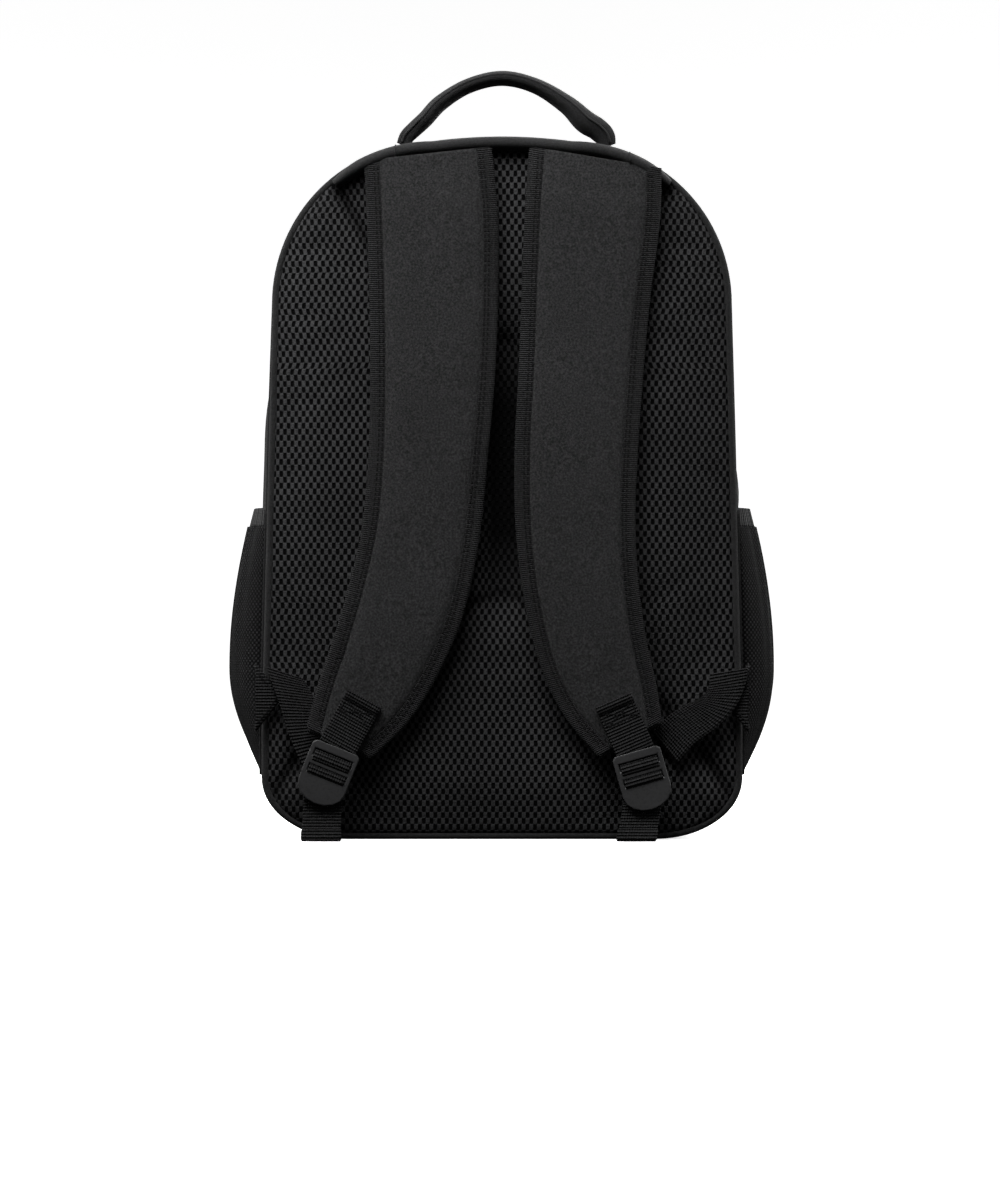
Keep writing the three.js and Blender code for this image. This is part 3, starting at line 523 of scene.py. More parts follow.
def half_arch(shell, y, inset, from_z):
    """Right half of the arch, from height from_z up to the middle of the top."""
    s = section(shell, y, inset)
    z = np.linspace(from_z, s["corner_z"], 6 * OUTLINE_DETAIL, endpoint=False)
    lean = (z - shell["split_z"]) / (s["corner_z"] - shell["split_z"])
    side = np.stack([s["half_width"] + (s["corner_x"] + s["radius"] - s["half_width"]) * lean, z], 1)
    a = np.linspace(0, math.pi / 2, 4 * OUTLINE_DETAIL, endpoint=False)
    corner = np.stack([s["corner_x"] + s["radius"] * np.cos(a), s["corner_z"] + s["radius"] * np.sin(a)], 1)
    k = np.linspace(1, 0, 2 * OUTLINE_DETAIL + 1)
    top = np.stack([s["corner_x"] * k, s["corner_z"] + s["radius"] + s["crown"] * (1 - k**2)], 1)
    return np.concatenate([side, corner, top])


def half_foot(shell, y, inset, to_z):
    """Right half of the foot, from the middle of the bottom up to height to_z."""
    s = section(shell, y, inset)
    run, rise = shell["foot_run"] - inset, shell["foot_rise"] - inset
    centre = s["half_width"] - run
    low = shell["foot_z"] + inset
    detail = 3 * OUTLINE_DETAIL
    flat = np.stack([np.linspace(0, centre, detail, endpoint=False), np.full(detail, low)], 1)
    a = np.linspace(0, math.pi / 2, detail + 1)
    corner = np.stack([centre + run * np.sin(a), shell["foot_z"] + shell["foot_rise"] - rise * np.cos(a)], 1)
    up = np.linspace(corner[-1, 1], to_z, OUTLINE_DETAIL + 1)[1:]
    return np.concatenate([flat, corner, np.stack([np.full(OUTLINE_DETAIL, s["half_width"]), up], 1)])


def both_halves(right):
    """The whole line from left to right, from its right half that starts in the middle."""
    return np.concatenate([(right * (-1, 1))[::-1][:-1], right])


def arch(shell, y, inset, limit_z):
    """The arch from its left foot over the top to its right foot."""
    return both_halves(half_arch(shell, y, inset, limit_z)[::-1])


def foot(shell, y, inset, limit_z):
    """The foot from the left side under the bag to the right side."""
    return both_halves(half_foot(shell, y, inset, limit_z))


def outline(shell, y, inset):
    """The closed outline, anticlockwise from the middle of the bottom as seen from the front."""
    split = shell["split_z"]
    right = np.concatenate([half_foot(shell, y, inset, split)[:-1], half_arch(shell, y, inset, split)])
    return np.concatenate([right, (right * (-1, 1))[::-1][1:-1]])


def band_points(line, shell, depths, inset, limit_z):
    """Points [along the line][depth] of a band of cloth."""
    return np.stack([at_depth(line(shell, y, inset, limit_z), y) for y in depths], 1)


def soft_waves(points, size, seed):
    """Low crossing waves over a grid of points, in millimetres, dying out at the sheet's edges."""
    shortest, longest, count = 45, 140, 7
    random = np.random.default_rng(seed)
    total = np.zeros(points.shape[:2])
    for _ in range(count):
        direction = random.normal(size=3)
        direction /= np.linalg.norm(direction)
        pitch = random.uniform(shortest, longest)
        total += np.sin(points @ direction * 2 * math.pi / pitch + random.uniform(0, 6.3))
    rows, columns = total.shape
    fade_rows = np.minimum(1, np.minimum(np.arange(rows), np.arange(rows)[::-1]) / (0.06 * rows))
    fade_columns = np.minimum(1, np.minimum(np.arange(columns), np.arange(columns)[::-1]) / (0.2 * columns))
    return total / math.sqrt(count) * size * fade_rows[:, None] * fade_columns[None]


def away_from_middle(points):
    """Unit vectors in the XZ plane away from the bag's middle."""
    away = points - np.array([0, 0, BAG_MIDDLE_Z], float)
    away[..., 0] *= 2
    away[..., 1] = 0
    return unit(away)


def bell(value, low, high):
    """Smooth rise and fall: 0 at low and high, 1 half way."""
    return np.sin(np.clip((value - low) / (high - low), 0, 1) * math.pi) ** 2


# ---------------------------------------------------------------- padded back

BACK_FACE_Y = -73.0
BACK_EDGE_Y = -64.6
TOP_SEAM = [(0, 300), (30, 310), (62, 344), (88, 389), (107, 424), (124, 460)]
BOTTOM_SEAM = [(0, 163), (38, 143), (80, 110), (114, 75), (137, 48), (158, 12)]
PANEL_CLIP = 1.5  # how far a panel's first and last rows stay from the ends of its outline
CHANNEL_TOP, CHANNEL_BOTTOM = 318, 160
CHANNEL_HALF = 9
CHANNEL_X = 3  # middle of the gap between the straps
EDGE_ROLL, TOP_ROLL = 34, 8  # how far in the padding takes to rise, at the sides and under the top band


def distance_to(points, line):
    """Distance in the XZ plane from points to a polyline."""
    best = np.full(len(points), 1e9)
    for a, b in zip(line[:-1], line[1:]):
        d = b - a
        t = np.clip(((points - a) @ d) / max(d @ d, 1e-9), 0, 1)
        best = np.minimum(best, np.linalg.norm(points - (a + t[:, None] * d), axis=1))
    return best


def cushion(distance, width):
    """Quarter-round rise from 0 at a seam to 1 a width away."""
    k = np.clip(distance / width, 0, 1)
    return np.sqrt(1 - (1 - k) ** 2)


def right_half(line):
    """The right half of a closed outline, from the bottom up."""
    right = line[line[:, 0] >= -1e-6]
    return right[np.argsort(right[:, 1], kind="stable")]


def eased(count, share):
    """From -1 to 1, drawn together at both ends by a share."""
    even = np.linspace(-1, 1, count)
    return share * np.sin(even * math.pi / 2) + (1 - share) * even


def panel_grid(shell, y, inset, spacing):
    """Points [row][column] (x, z) that fill an outline, and the outline itself."""
    line = outline(shell, y, inset)
    right = right_half(line)
    low, high = right[0, 1] + PANEL_CLIP, right[-1, 1] - PANEL_CLIP
    rows = int((high - low) / spacing)
    z = low + (high - low) * (eased(rows, 0.35) + 1) / 2
    reach = np.interp(z, right[:, 1], right[:, 0])
    x = eased(int(2 * reach.max() / spacing), 0.3)[None] * reach[:, None]
    return np.stack([x, np.broadcast_to(z[:, None], x.shape)], -1), line


def set_uv(obj, table):
    """UV lengths in metres, from a table with one row for each point."""
    index = np.empty(len(obj.data.loops), np.int32)
    obj.data.loops.foreach_get("vertex_index", index)
    obj.data.uv_layers["UVMap"].data.foreach_set("uv", table[index].astype(np.float32).ravel())


def lay_uv(obj, points):
    """UV lengths of a flat panel: across along the cloth from its middle, and up by height."""
    middle = points.shape[1] // 2
    run = lengths(points, 1)
    run = run - run[:, middle:middle + 1]
    set_uv(obj, np.stack([run, points[..., 2]], -1).reshape(-1, 2) * MM)


def flat_uv(obj):
    """UV lengths straight from x and z, for a piece cut from flat webbing."""
    set_uv(obj, coordinates(obj.data)[:, [0, 2]])


def build_back():
    """Mesh face over the pads, pressed in along the seams and the channel."""
    xz, line = panel_grid(MAIN, MAIN["rear_y"], 3.0, 3.2)
    flat = xz.reshape(-1, 2)
    top, bottom = spline(TOP_SEAM, 40), spline(BOTTOM_SEAM, 40)
    mirror = np.array([-1, 1])
    to_seam = np.min([distance_to(flat, s) for s in (top, top * mirror, bottom, bottom * mirror)], axis=0)
    channel = np.array([(0, CHANNEL_TOP), (0, CHANNEL_BOTTOM)], float)
    to_channel = np.maximum(distance_to(flat, channel) - CHANNEL_HALF, 0)
    to_border = distance_to(flat, np.concatenate([line, line[:1]]))
    rise = np.minimum(cushion(to_seam, 17), cushion(to_channel, 26))
    edge = cushion(to_border, np.interp(flat[:, 1], (385, 435), (EDGE_ROLL, TOP_ROLL)))
    y = BACK_EDGE_Y + (BACK_FACE_Y + 0.9 - BACK_EDGE_Y) * edge * (0.05 + 0.95 * rise)
    points = at_depth(xz, y.reshape(xz.shape[:2]))
    skin = grid("back_panel_skin", points, LOOK["back_net"])
    lay_uv(skin, points)
    face_towards(skin, (0, -1, 0))
    pinned = (to_seam < 2.2) | (to_channel < 0.5) | (to_border < 4)
    settle(skin, pinned, pressure=0.35, slack=0.002, cap=3.0)
    # Painted shade: the recess value darkens the net's colour down the channel between the straps, fading out
    # towards its ends, and along the quilting seams.
    taper = np.clip((flat[:, 1] - 140) / 60, 0, 1) * np.clip((372 - flat[:, 1]) / 90, 0, 1)
    channel_shade = 0.97 * np.clip(1.9 - np.abs(flat[:, 0] - CHANNEL_X) / 10, 0, 1) * taper
    seam_shade = 0.75 * np.clip(1 - to_seam / 5, 0, 1)
    recess = skin.data.attributes.new("recess", "FLOAT", "POINT")
    recess.data.foreach_set("value", np.maximum(channel_shade, seam_shade).astype(np.float32))
    modifier(skin, "SUBSURF", levels=1, render_levels=1)
    thicken(skin, 1.4)
    pads = [f"back_pad_{where}" for where in ("top", "bottom", "left", "right")]
    place(skin, "pack_body", "mesh_cloth", ["back_mesh", *pads])
    build_seam_stitches(top, bottom, line)


def build_seam_stitches(top, bottom, rim):
    """A row of stitches down in each quilting seam."""
    right = right_half(rim)
    lines = []
    for seam in (top, bottom):
        for sign in (-1, 1):
            line = at_depth(seam * (sign, 1), BACK_EDGE_Y - 0.9)
            reach = np.interp(line[:, 2], right[:, 1], right[:, 0]) - 9
            lines.append(line[(np.abs(line[:, 0]) > 16) & (np.abs(line[:, 0]) < reach)])
    place(stitches("back_seam_stitches", lines, (0.8, 3.0, 0.8), 4.0), "pack_body", "webbing")


def stitch_line(line, out, pitch, margin):
    """Middles and axes of stitches laid along a line, a pitch apart."""
    at, along = steps_along(line, margin, margin, pitch)
    up = np.broadcast_to(np.asarray(out, float), along.shape)
    return at, np.stack([unit(np.cross(along, up)), along, up], 1)


def stitches(name, lines, size, pitch, out=(0, -1, 0), margin=2.0):
    """One piece of many stitches, a pitch apart along every line."""
    laid = [stitch_line(line, out, pitch, margin) for line in lines]
    centres, axes = (np.concatenate(part) for part in zip(*laid))
    return blocks(name, centres, axes, size, LOOK["thread"])


def build_edge_piping():
    line = outline(MAIN, MAIN["rear_y"], 2.6)
    path = at_depth(line, BACK_EDGE_Y - 0.2)
    piping = tube("back_edge_piping", path, 2.4, LOOK["canvas"], sides=12, closed=True)
    place(piping, "pack_body", "canvas", ["back_piping"])


def build_top_band():
    """Tape along the top edge that closes over the top ends of the straps."""
    right = half_arch(MAIN, MAIN["rear_y"], 5.6, 400)
    right = right[right[:, 1] > 424]
    line = both_halves(right[::-1])
    x = line[:, 0]
    fullness = np.clip((124 - np.abs(x)) / 34, 0, 1)
    fullness = fullness * fullness * (3 - 2 * fullness)
    half_height = 2.2 + 2.7 * fullness
    half_depth = 2.5 + 7.6 * fullness
    path = at_depth(line, -66.0 - 6.2 * fullness)
    band = tube("top_band", path, half_height, LOOK["canvas"], sides=20, flat=half_depth / half_height)
    place(band, "pack_body", "canvas")
    for k, seam_x in enumerate((-67, 82)):
        at = np.argmin(np.abs(x - seam_x))
        ring = tube_ring(path[at], half_depth[at] + 0.3, half_height[at] + 0.3)
        name = f"top_band_seam_{k + 1}"
        seam = tube(name, ring, 0.5, LOOK["canvas"], sides=6, closed=True, side_hint=(1, 0, 0))
        place(seam, "pack_body", "canvas")


def tube_ring(middle, half_depth, half_height):
    """Oval ring of 28 points in the YZ plane round a point."""
    a = circle(28)
    return middle + np.stack([0 * a, half_depth * np.cos(a), half_height * np.sin(a)], 1)


# ---------------------------------------------------------------- shoulder straps


def strap_y(z):
    """Depth of a strap's middle: it stands off further towards its lower end."""
    share = np.clip((446 - z) / 446, 0, 1)
    return STRAP_INNER_Y - STRAP_THICKNESS / 2 - STRAP_STAND_OFF * share**1.5


def strap_edges(side, count):
    """The left and right edge lines of a strap, as points (x, z)."""
    rows = np.array(STRAPS[side], float)
    return spline(rows[:, :2], count), spline(rows[:, 2:], count)


def strap_point(edges, across, depth):
    """Points on a strap: across is 0 to 1 from left to right edge, depth is added to its middle y."""
    left, right = edges
    xz = left + (right - left) * np.asarray(across)[..., None]
    middle_z = (left[:, 1] + right[:, 1]) / 2
    return np.stack([xz[:, 0], strap_y(middle_z) + depth, xz[:, 1]], 1)


def strap_half(inset):
    """Half thickness of the pad at a distance in from its edge: thin under the binding, then full."""
    edge = 1.9 + 0.9 * np.clip(inset / BINDING, 0, 1)
    return edge + (STRAP_THICKNESS / 2 - 2.8) * cushion(np.maximum(inset - BINDING + 0.8, 0), 13)


def strap_blend(obj):
    """Bakes a strap piece's placement into its mesh."""
    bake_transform(obj)


def strap_creases(side, left, right):
    """Soft creases across the strap below the top seam, in millimetres."""
    random = np.random.default_rng(11 if side == "left" else 12)
    z = (left[:, 1] + right[:, 1]) / 2

    def crease(share):
        total = np.zeros(len(z))
        for k in range(5):
            middle = 436 - 13 * k + random.uniform(-3, 3)
            tilt = random.uniform(-14, 14)
            total -= np.exp(-(((z - middle + tilt * (share - 0.5)) / 3.2) ** 2)) * (0.55 - 0.09 * k)
        return total + 0.25 * np.sin(z / 21 + 3 * share) + 0.2 * np.sin(z / 13 - 5 * share)
    return crease


def build_strap(side):
    count = 220
    edges = strap_edges(side, count)
    left, right = edges
    width = np.linalg.norm(right - left, axis=1)
    seam = np.clip(np.linspace(0.35, 8, count), 0, 1)
    state = np.random.default_rng(5)
    crease = strap_creases(side, left, right)
    rim = np.linspace(0, 0.16, 12)[:-1]
    shares = np.concatenate([rim, np.linspace(0.16, 0.84, 40), np.linspace(0.84, 1, 12)[1:]])
    columns = {-1: [], 1: []}
    for share in shares:
        inset = np.minimum(share, 1 - share) * width
        half = strap_half(inset) * seam
        inner = np.clip((inset - BINDING) / 12, 0, 1)
        soft = inner * (0.35 * np.sin(left[:, 1] / 17 + 2 * share) + state.normal() * 0.02)
        columns[-1].append(strap_point(edges, np.full(count, share), -(half + soft * 0.6)))
        columns[1].append(strap_point(edges, np.full(count, share), half * 0.8))
    for k, share in enumerate(shares):
        columns[-1][k][:, 1] -= crease(share) * np.clip((np.minimum(share, 1 - share) * width - 6) / 10, 0, 1)
    ring = np.stack(columns[-1] + columns[1][::-1], 1)
    pad = grid(f"{side}_strap_pad", ring, LOOK["strap"], loop_columns=True, caps=True)
    strap_blend(pad)
    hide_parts(f"{side}_strap_upper", f"{side}_strap_lower")
    for edge_name, is_right in (("left", False), ("right", True)):
        build_binding(side, edge_name, is_right, edges, width, seam)
    build_strap_end_binding(side, edges)
    build_strap_stitches(side, edges, width, seam)


def from_edge(share, is_right):
    """Share across the strap from its left edge, given the share in from one of its edges."""
    return 1 - share if is_right else share


def build_binding(side, edge_name, is_right, edges, width, seam):
    """Tape folded round one edge of a strap."""
    insets = (BINDING, BINDING - 0.8, 7.5, 5, 2.8, 1.2, 0.3, -0.5)
    outer, inner = [], []
    for sign, order in ((-1, insets), (1, insets[::-1])):
        for inset in order:
            inside = max(inset, 0)
            half = (1.9 + 0.9 * inside / BINDING) * seam * (1 if inset > 0.5 else 0.72 if inset > 0 else 0.3)
            lift = 0.8 if inset < BINDING else 0.25
            outer.append(strap_point(edges, from_edge(inset / width, is_right), sign * (half + lift)))
            inner.append(strap_point(edges, from_edge(inside / width, is_right), sign * half * 0.9))
    ring = np.stack(outer + inner[::-1], 1)
    tape = grid(f"{side}_strap_{edge_name}_binding", ring, LOOK["binding"], loop_columns=True, caps=True)
    strap_blend(tape)


def build_strap_end_binding(side, edges):
    """Binding across the lower end of a strap."""
    left, right = edges[0][-1], edges[1][-1]
    share = np.linspace(0.02, 0.98, 30)
    xz = left + (right - left) * share[:, None]
    path = at_depth(xz, strap_y((left[1] + right[1]) / 2))
    tape = tube(f"{side}_strap_end_binding", path, 2.1, LOOK["binding"], sides=12, flat=1.35)
    place(tape, f"{side}_strap_lower", "webbing")


def build_strap_stitches(side, edges, width, seam):
    """Two rows of stitches along each binding."""
    dense = np.linspace(0, 1, 900)
    old = np.linspace(0, 1, len(width))
    fine = [np.stack([np.interp(dense, old, e[:, k]) for k in (0, 1)], 1) for e in edges]
    fine_width = np.linalg.norm(fine[1] - fine[0], axis=1)
    fine_seam = np.interp(dense, old, seam)
    lines = []
    for is_right in (False, True):
        for inset in (BINDING - 1.7, BINDING - 4.2):
            half = (1.9 + 0.9 * inset / BINDING) * fine_seam + 0.95
            lines.append(strap_point(fine, from_edge(inset / fine_width, is_right), -half))
    made = stitches(f"{side}_strap_stitches", lines, (1.2, 2.1, 0.6), 3.2, margin=6)
    strap_blend(made)


# ---------------------------------------------------------------- webbing, locks and tabs


def leaning(side, angle):
    """Unit vectors down and across something that leans outwards on one side, angle in degrees."""
    lean = math.radians(angle)
    down = np.array([side * math.sin(lean), 0, -math.cos(lean)])
    across = np.array([math.cos(lean), 0, side * math.sin(lean)])
    return down, across


def ribbon(name, path, across, material, width=WEB, thickness=1.8):
    """Webbing along a path, with rounded edges; width and thickness may vary along it."""
    path = np.asarray(path, float)
    across = unit(np.broadcast_to(np.asarray(across, float), path.shape))
    up = unit(np.cross(np.gradient(path, axis=0), across))
    half_width = (np.broadcast_to(width, len(path)) / 2)[:, None]
    half = (np.broadcast_to(thickness, len(path)) / 2)[:, None]
    flat = np.linspace(-1, 1, 12)
    ring = [path + across * half_width * s * 0.985 + up * half for s in flat]
    ring += [path + across * half_width]
    ring += [path + across * half_width * s * 0.985 - up * half for s in flat[::-1]]
    ring += [path - across * half_width]
    return grid(name, np.stack(ring, 1), material, loop_columns=True, caps=True)


def build_tab(side):
    """Webbing tab on the strap's lower end, with its folded end and its box of stitches."""
    lock = LOCKS[side]
    down, across = leaning(lock["side"], lock["tab_lean"])
    front = strap_y(lock["z"]) - STRAP_THICKNESS / 2 - 1.4
    end = np.array([lock["x"], front, lock["z"]], float) - down * TAB_ROOM
    reach = np.array([TAB_LENGTH, TAB_LENGTH - 1, TAB_LENGTH - 4.4, TAB_LENGTH - 5.0, 24, 16, 8, 2, 0, -7])
    folded_end = np.array([0, 1, 1] + [0] * 7)
    lift = -0.2 * folded_end
    thickness = np.array([2.6, 3.4, 3.4] + [1.8] * 7)
    path = end - down * reach[:, None] + np.array([0, 1, 0]) * lift[:, None]
    tab = ribbon(f"{side}_tab", path, across, LOOK["webbing"], thickness=thickness)
    place(tab, f"{side}_strap_lower", "webbing", [f"{side}_strap_tab"])
    middle = end - down * (TAB_LENGTH - 10)
    half = across * (WEB / 2 - 2)
    low, high = down * 4.5, down * -4.5
    corners = [middle - half + high, middle + half + high, middle + half + low, middle - half + low]
    out = np.array([0, -1.15, 0])
    box_and_cross = [(0, 1), (1, 2), (2, 3), (3, 0), (0, 2), (1, 3)]
    lines = [np.linspace(corners[a], corners[b], 20) + out for a, b in box_and_cross]
    made = stitches(f"{side}_tab_stitches", lines, (0.7, 2.0, 0.5), 2.6, margin=0.8)
    place(made, f"{side}_strap_lower", "webbing")


def build_lock(side):
    lock = LOCKS[side]
    body = f"{side}_lock"
    bevelled_copy(f"{side}_ladder_lock", f"{side}_lock_plate", "buckle", body, "buckle", 0.9)
    down, across = leaning(lock["side"], lock["lean"])
    top = np.array([lock["x"], LOCK_Y, lock["z"]], float)
    for k, (start, end) in enumerate(((5.6, 14.6), (15.6, 22.8))):
        share = np.linspace(0, 1, 15)
        hump = np.sin(share * math.pi) ** 0.6
        path = top + down * (start + (end - start) * share)[:, None]
        path[:, 1] += 1.0 - 3.9 * hump
        web = ribbon(f"{side}_lock_webbing_{k + 1}", path, across, LOOK["webbing"], thickness=1.5)
        place(web, body, "webbing")
    build_tail(side, top, down, across)


def build_tail(side, top, down, across):
    """Loose end of the webbing, from the lock down to the floor."""
    lock = LOCKS[side]
    start = top + down * 24 + np.array([0, 3.75, 0])
    end = np.array([lock["tail_x"], -97, 0.8])
    middle = start + (end - start) * 0.42
    middle[1] = start[1]
    share = np.linspace(0, 1, 40)[:, None]
    pull = middle + (middle - (start + end) / 2)
    path = (1 - share) ** 2 * start + 2 * share * (1 - share) * pull + share**2 * end
    level = np.array([1.0, 0, 0])
    turn = np.clip(share / 0.45, 0, 1)
    width_vectors = across * (1 - turn) + level * turn
    to_end = np.linalg.norm(path - path[-1], axis=1)
    hem = (to_end < 7.5) & (to_end > 0.4)
    thickness = np.where(hem, 3.0, 1.8)
    thickness[-1] = 2.4
    path[hem, 1] -= 0.6
    tail = ribbon(f"{side}_tail", path, width_vectors, LOOK["webbing"], WEB + 1.2 * hem, thickness)
    place(tail, f"{side}_lock", "webbing", [f"{side}_webbing_tail"])


def build_lower_webbing(side):
    sign = LOCKS[side]["side"]
    smooth_rows = spline(LOWER_WEBBING[side], 60)
    share = np.linspace(0, 1, 60)
    y = LOWER_WEBBING_Y - 0.5 * np.sin(share * math.pi)
    path = at_depth(smooth_rows, y)
    turn = np.radians(smooth_rows[:, 2])
    across = np.stack([np.cos(turn), 0.06 * np.sin(share * 2 * math.pi), sign * np.sin(turn)], 1)
    web = ribbon(f"{side}_lower_web", path, across, LOOK["webbing"])
    place(web, f"{side}_lower_webbing", "webbing", [f"{side}_webbing"])


def build_anchor(side):
    """Folded triangle of webbing sewn into the side seam, with its stitch lines."""
    lock = LOCKS[side]
    sign, edge_x = lock["side"], lock["anchor_x"]
    corners = np.array([(edge_x, 70), (edge_x, 115), (edge_x - sign * 18, 93)], float)
    count = 15
    rows = []
    for t in np.linspace(0, 1, count):
        base = corners[0] + (corners[1] - corners[0]) * t
        rows.append([base + (corners[2] - base) * k for k in np.linspace(0, 1, count)])
    xz = np.array(rows)
    flat = xz.reshape(-1, 2)
    to_rim = distance_to(flat, corners[[0, 2, 1]]).reshape(xz.shape[:2])
    y = -75.2 - 1.5 * cushion(to_rim, 2.5) + 0.25 * np.sin(xz[..., 1] / 4)
    points = at_depth(xz, y)
    tab = grid(f"{side}_anchor", points, LOOK["webbing"])
    flat_uv(tab)
    face_towards(tab, (0, -1, 0))
    thicken(tab, 1.8)
    place(tab, "pack_body", "webbing", [f"{side}_anchor_tab"])
    centre = corners.mean(0)
    inner = corners + (centre - corners) * 0.3
    lines = [at_depth(np.linspace(inner[a], inner[b], 12), -76.9) for a, b in ((0, 2), (2, 1))]
    made = stitches(f"{side}_anchor_stitches", lines, (0.7, 2.1, 0.5), 3.0, margin=0.5)
    place(made, "pack_body", "webbing")


# ---------------------------------------------------------------- carry handle


def build_handle():
    rows = spline(HANDLE_LOOP, 120)
    thick, deep = rows.T[2:]
    along = unit(np.gradient(rows[:, :2], axis=0))
    normal = np.stack([-along[:, 1], np.zeros(len(rows)), along[:, 0]], 1)
    middle = at_depth(rows, HANDLE_Y)
    angle = circle(28)
    run = lengths(middle, 0)
    crease = 1 + 0.012 * np.sin(run / 4.3) * bell(run, 5, 60)
    crease += 0.012 * np.sin(run / 5.1) * bell(run, 120, run[-1])

    def power(value, exponent):
        return np.sign(value) * np.abs(value) ** exponent

    ring = middle[:, None] + (
        (power(np.sin(angle), 0.9)[None, :, None] * (thick * crease)[:, None, None]) * normal[:, None]
        + (power(np.cos(angle), 0.8)[None, :, None] * deep[:, None, None]) * np.array([0, 1.0, 0])
    )
    loop = grid("handle_loop", ring, LOOK["canvas"], loop_columns=True, caps=True)
    place(loop, "carry_handle", "canvas", ["carry_handle"])
    for name, sign in (("rear", -1), ("front", 1)):
        offset = normal * (thick * 0.28)[:, None] + np.array([0, sign, 0]) * (deep * 0.93)[:, None]
        piping = tube(f"handle_{name}_piping", (middle + offset)[3:-3], 1.0, LOOK["canvas"], sides=8)
        place(piping, "carry_handle", "canvas")


# ---------------------------------------------------------------- body cloth


def polygon_area(line):
    """Area inside a closed line of (x, z) points, in square millimetres."""
    x, z = line.T
    return abs(np.sum(x * np.roll(z, -1) - z * np.roll(x, -1))) / 2


def cut_sheet(area=None):
    """Turns the cut area of a piece of body cloth from square millimetres into square metres; nothing is done
    with it.
    """
    area = None if area is None else area * MM * MM


def panel_sheet(line):
    """Passes the area of a flat panel that was cut along a closed outline to cut_sheet."""
    cut_sheet(polygon_area(line))


def strip_sheet(line, shell, depths, from_z):
    """For a strip of cloth that was cut straight and bent round a shell's outline: finds its middle line,
    which is not used, and calls cut_sheet without an area.
    """
    middle = line(shell, (depths[0] + depths[-1]) / 2, 0, from_z)
    cut_sheet()


def sheet_piece(name, points, look, thickness, body, slot, nodes, facing=None):
    """A sheet with its thickness inwards, on a body and in the place of CAD nodes."""
    obj = grid(name, points, LOOK[look])
    if facing is not None:
        face_towards(obj, facing)
    thicken(obj, thickness)
    return place(obj, body, slot, nodes)


def body_cloth(name, points, thickness, body, node_name):
    """A lined sheet of body cloth that stands for a CAD node."""
    cloth = grid(name, points, LOOK["canvas"])
    lined(cloth, thickness)
    return place(cloth, body, "canvas", [node_name])


def build_gusset():
    """Side and top cloth behind the main zip, fuller on the left where the contents push it out."""
    depths = np.linspace(-62, 18, 34)
    points = band_points(arch, MAIN, depths, 0, MAIN["rear_z"])
    away = away_from_middle(points)
    x, y, z = points[..., 0], points[..., 1], points[..., 2]
    fullness = np.where(x < 0, 8.0, 3.0) * bell(z, 90, 400) * bell(y, -75, 40)
    swell = fullness * (np.abs(x) > 60) + soft_waves(points, 1.1, 21)
    points = points + away * swell[..., None]
    cloth = body_cloth("rear_gusset_cloth", points, 1.5, "pack_body", "rear_gusset")
    strip_sheet(arch, MAIN, depths, MAIN["rear_z"])


def build_base():
    depths = np.linspace(-62, 62, 42)
    points = band_points(foot, MAIN, depths, 0, MAIN["split_z"])
    lift = 1.2 * bell(points[..., 1], -62, 62) * (points[..., 2] < 2)
    points[..., 2] += lift
    waves = soft_waves(points, 0.6, 22)
    points = points + away_from_middle(points) * waves[..., None] * (points[..., 2:] > 8)
    cloth = body_cloth("base_cloth", points, 1.5, "pack_body", "base_panel")
    strip_sheet(foot, MAIN, depths, MAIN["split_z"])
    pad = bevelled_copy("base_pad", "base_pad_cover", "lining", "pack_body", "foam", 1.5)


def build_lining():
    xz, line = panel_grid(MAIN, MAIN["rear_y"], 3.0, 9)
    y = -59.6 + 0.5 * np.sin(xz[..., 0] / 19) * np.sin(xz[..., 1] / 26)
    points = at_depth(xz, y)
    cloth = grid("back_lining_cloth", points, LOOK["lining"])
    lay_uv(cloth, points)
    face_towards(cloth, (0, 1, 0))
    thicken(cloth, 0.8)
    place(cloth, "pack_body", "lining", ["back_lining"])
    panel_sheet(line)


def fold_blend(obj):
    """Bakes a piece's placement into its mesh."""
    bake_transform(obj)


def build_front_panel(name, shell, bodies, bulge, seed, replaced, spacing=4.5, recess=None):
    """Front cloth of a shell: rounded at its rim, a little full, one sheet across the fold."""
    front = shell["front_y"]
    xz, line = panel_grid(shell, front, 0.6, spacing)
    flat = xz.reshape(-1, 2)
    to_border = distance_to(flat, np.concatenate([line, line[:1]])).reshape(xz.shape[:2])
    y = front - 1.6 + 1.6 * cushion(to_border, 6) + bulge * cushion(to_border, 70)
    points = at_depth(xz, y)
    points[..., 1] += soft_waves(points, 0.5, seed)
    cloth = grid(name, points, LOOK["canvas"])
    lay_uv(cloth, points)
    face_towards(cloth, (0, 1, 0))
    settle(cloth, (to_border < 4).ravel(), pressure=0.12, slack=0.0, cap=4.0)
    if recess is not None:
        press_recess(cloth, recess, front)
    modifier(cloth, "SUBSURF", levels=1, render_levels=1)
    lined(cloth, 1.3)
    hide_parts(*replaced)
    fold_blend(cloth)
    panel_sheet(line)


def press_recess(cloth, recess, front):
    """Presses the cloth in behind the accessory zip."""
    half_length, half_height, middle_z = recess
    co = coordinates(cloth.data) / MM
    outside_x = np.maximum(np.abs(co[:, 0]) - half_length, 0)
    outside_z = np.maximum(np.abs(co[:, 2] - middle_z) - half_height, 0)
    share = np.clip(1 - np.hypot(outside_x, outside_z) / 5, 0, 1)
    co[:, 1] = co[:, 1] * (1 - share) + np.minimum(co[:, 1], front - 1.9) * share
    cloth.data.vertices.foreach_set("co", (co * MM).astype(np.float32).ravel())


def front_piping(name, shell, radius):
    line = outline(shell, shell["front_y"], 0.8)
    path = at_depth(line, shell["front_y"] - 0.9)
    piping = tube(name, path, radius, LOOK["canvas"], sides=10, closed=True)
    fold_blend(piping)


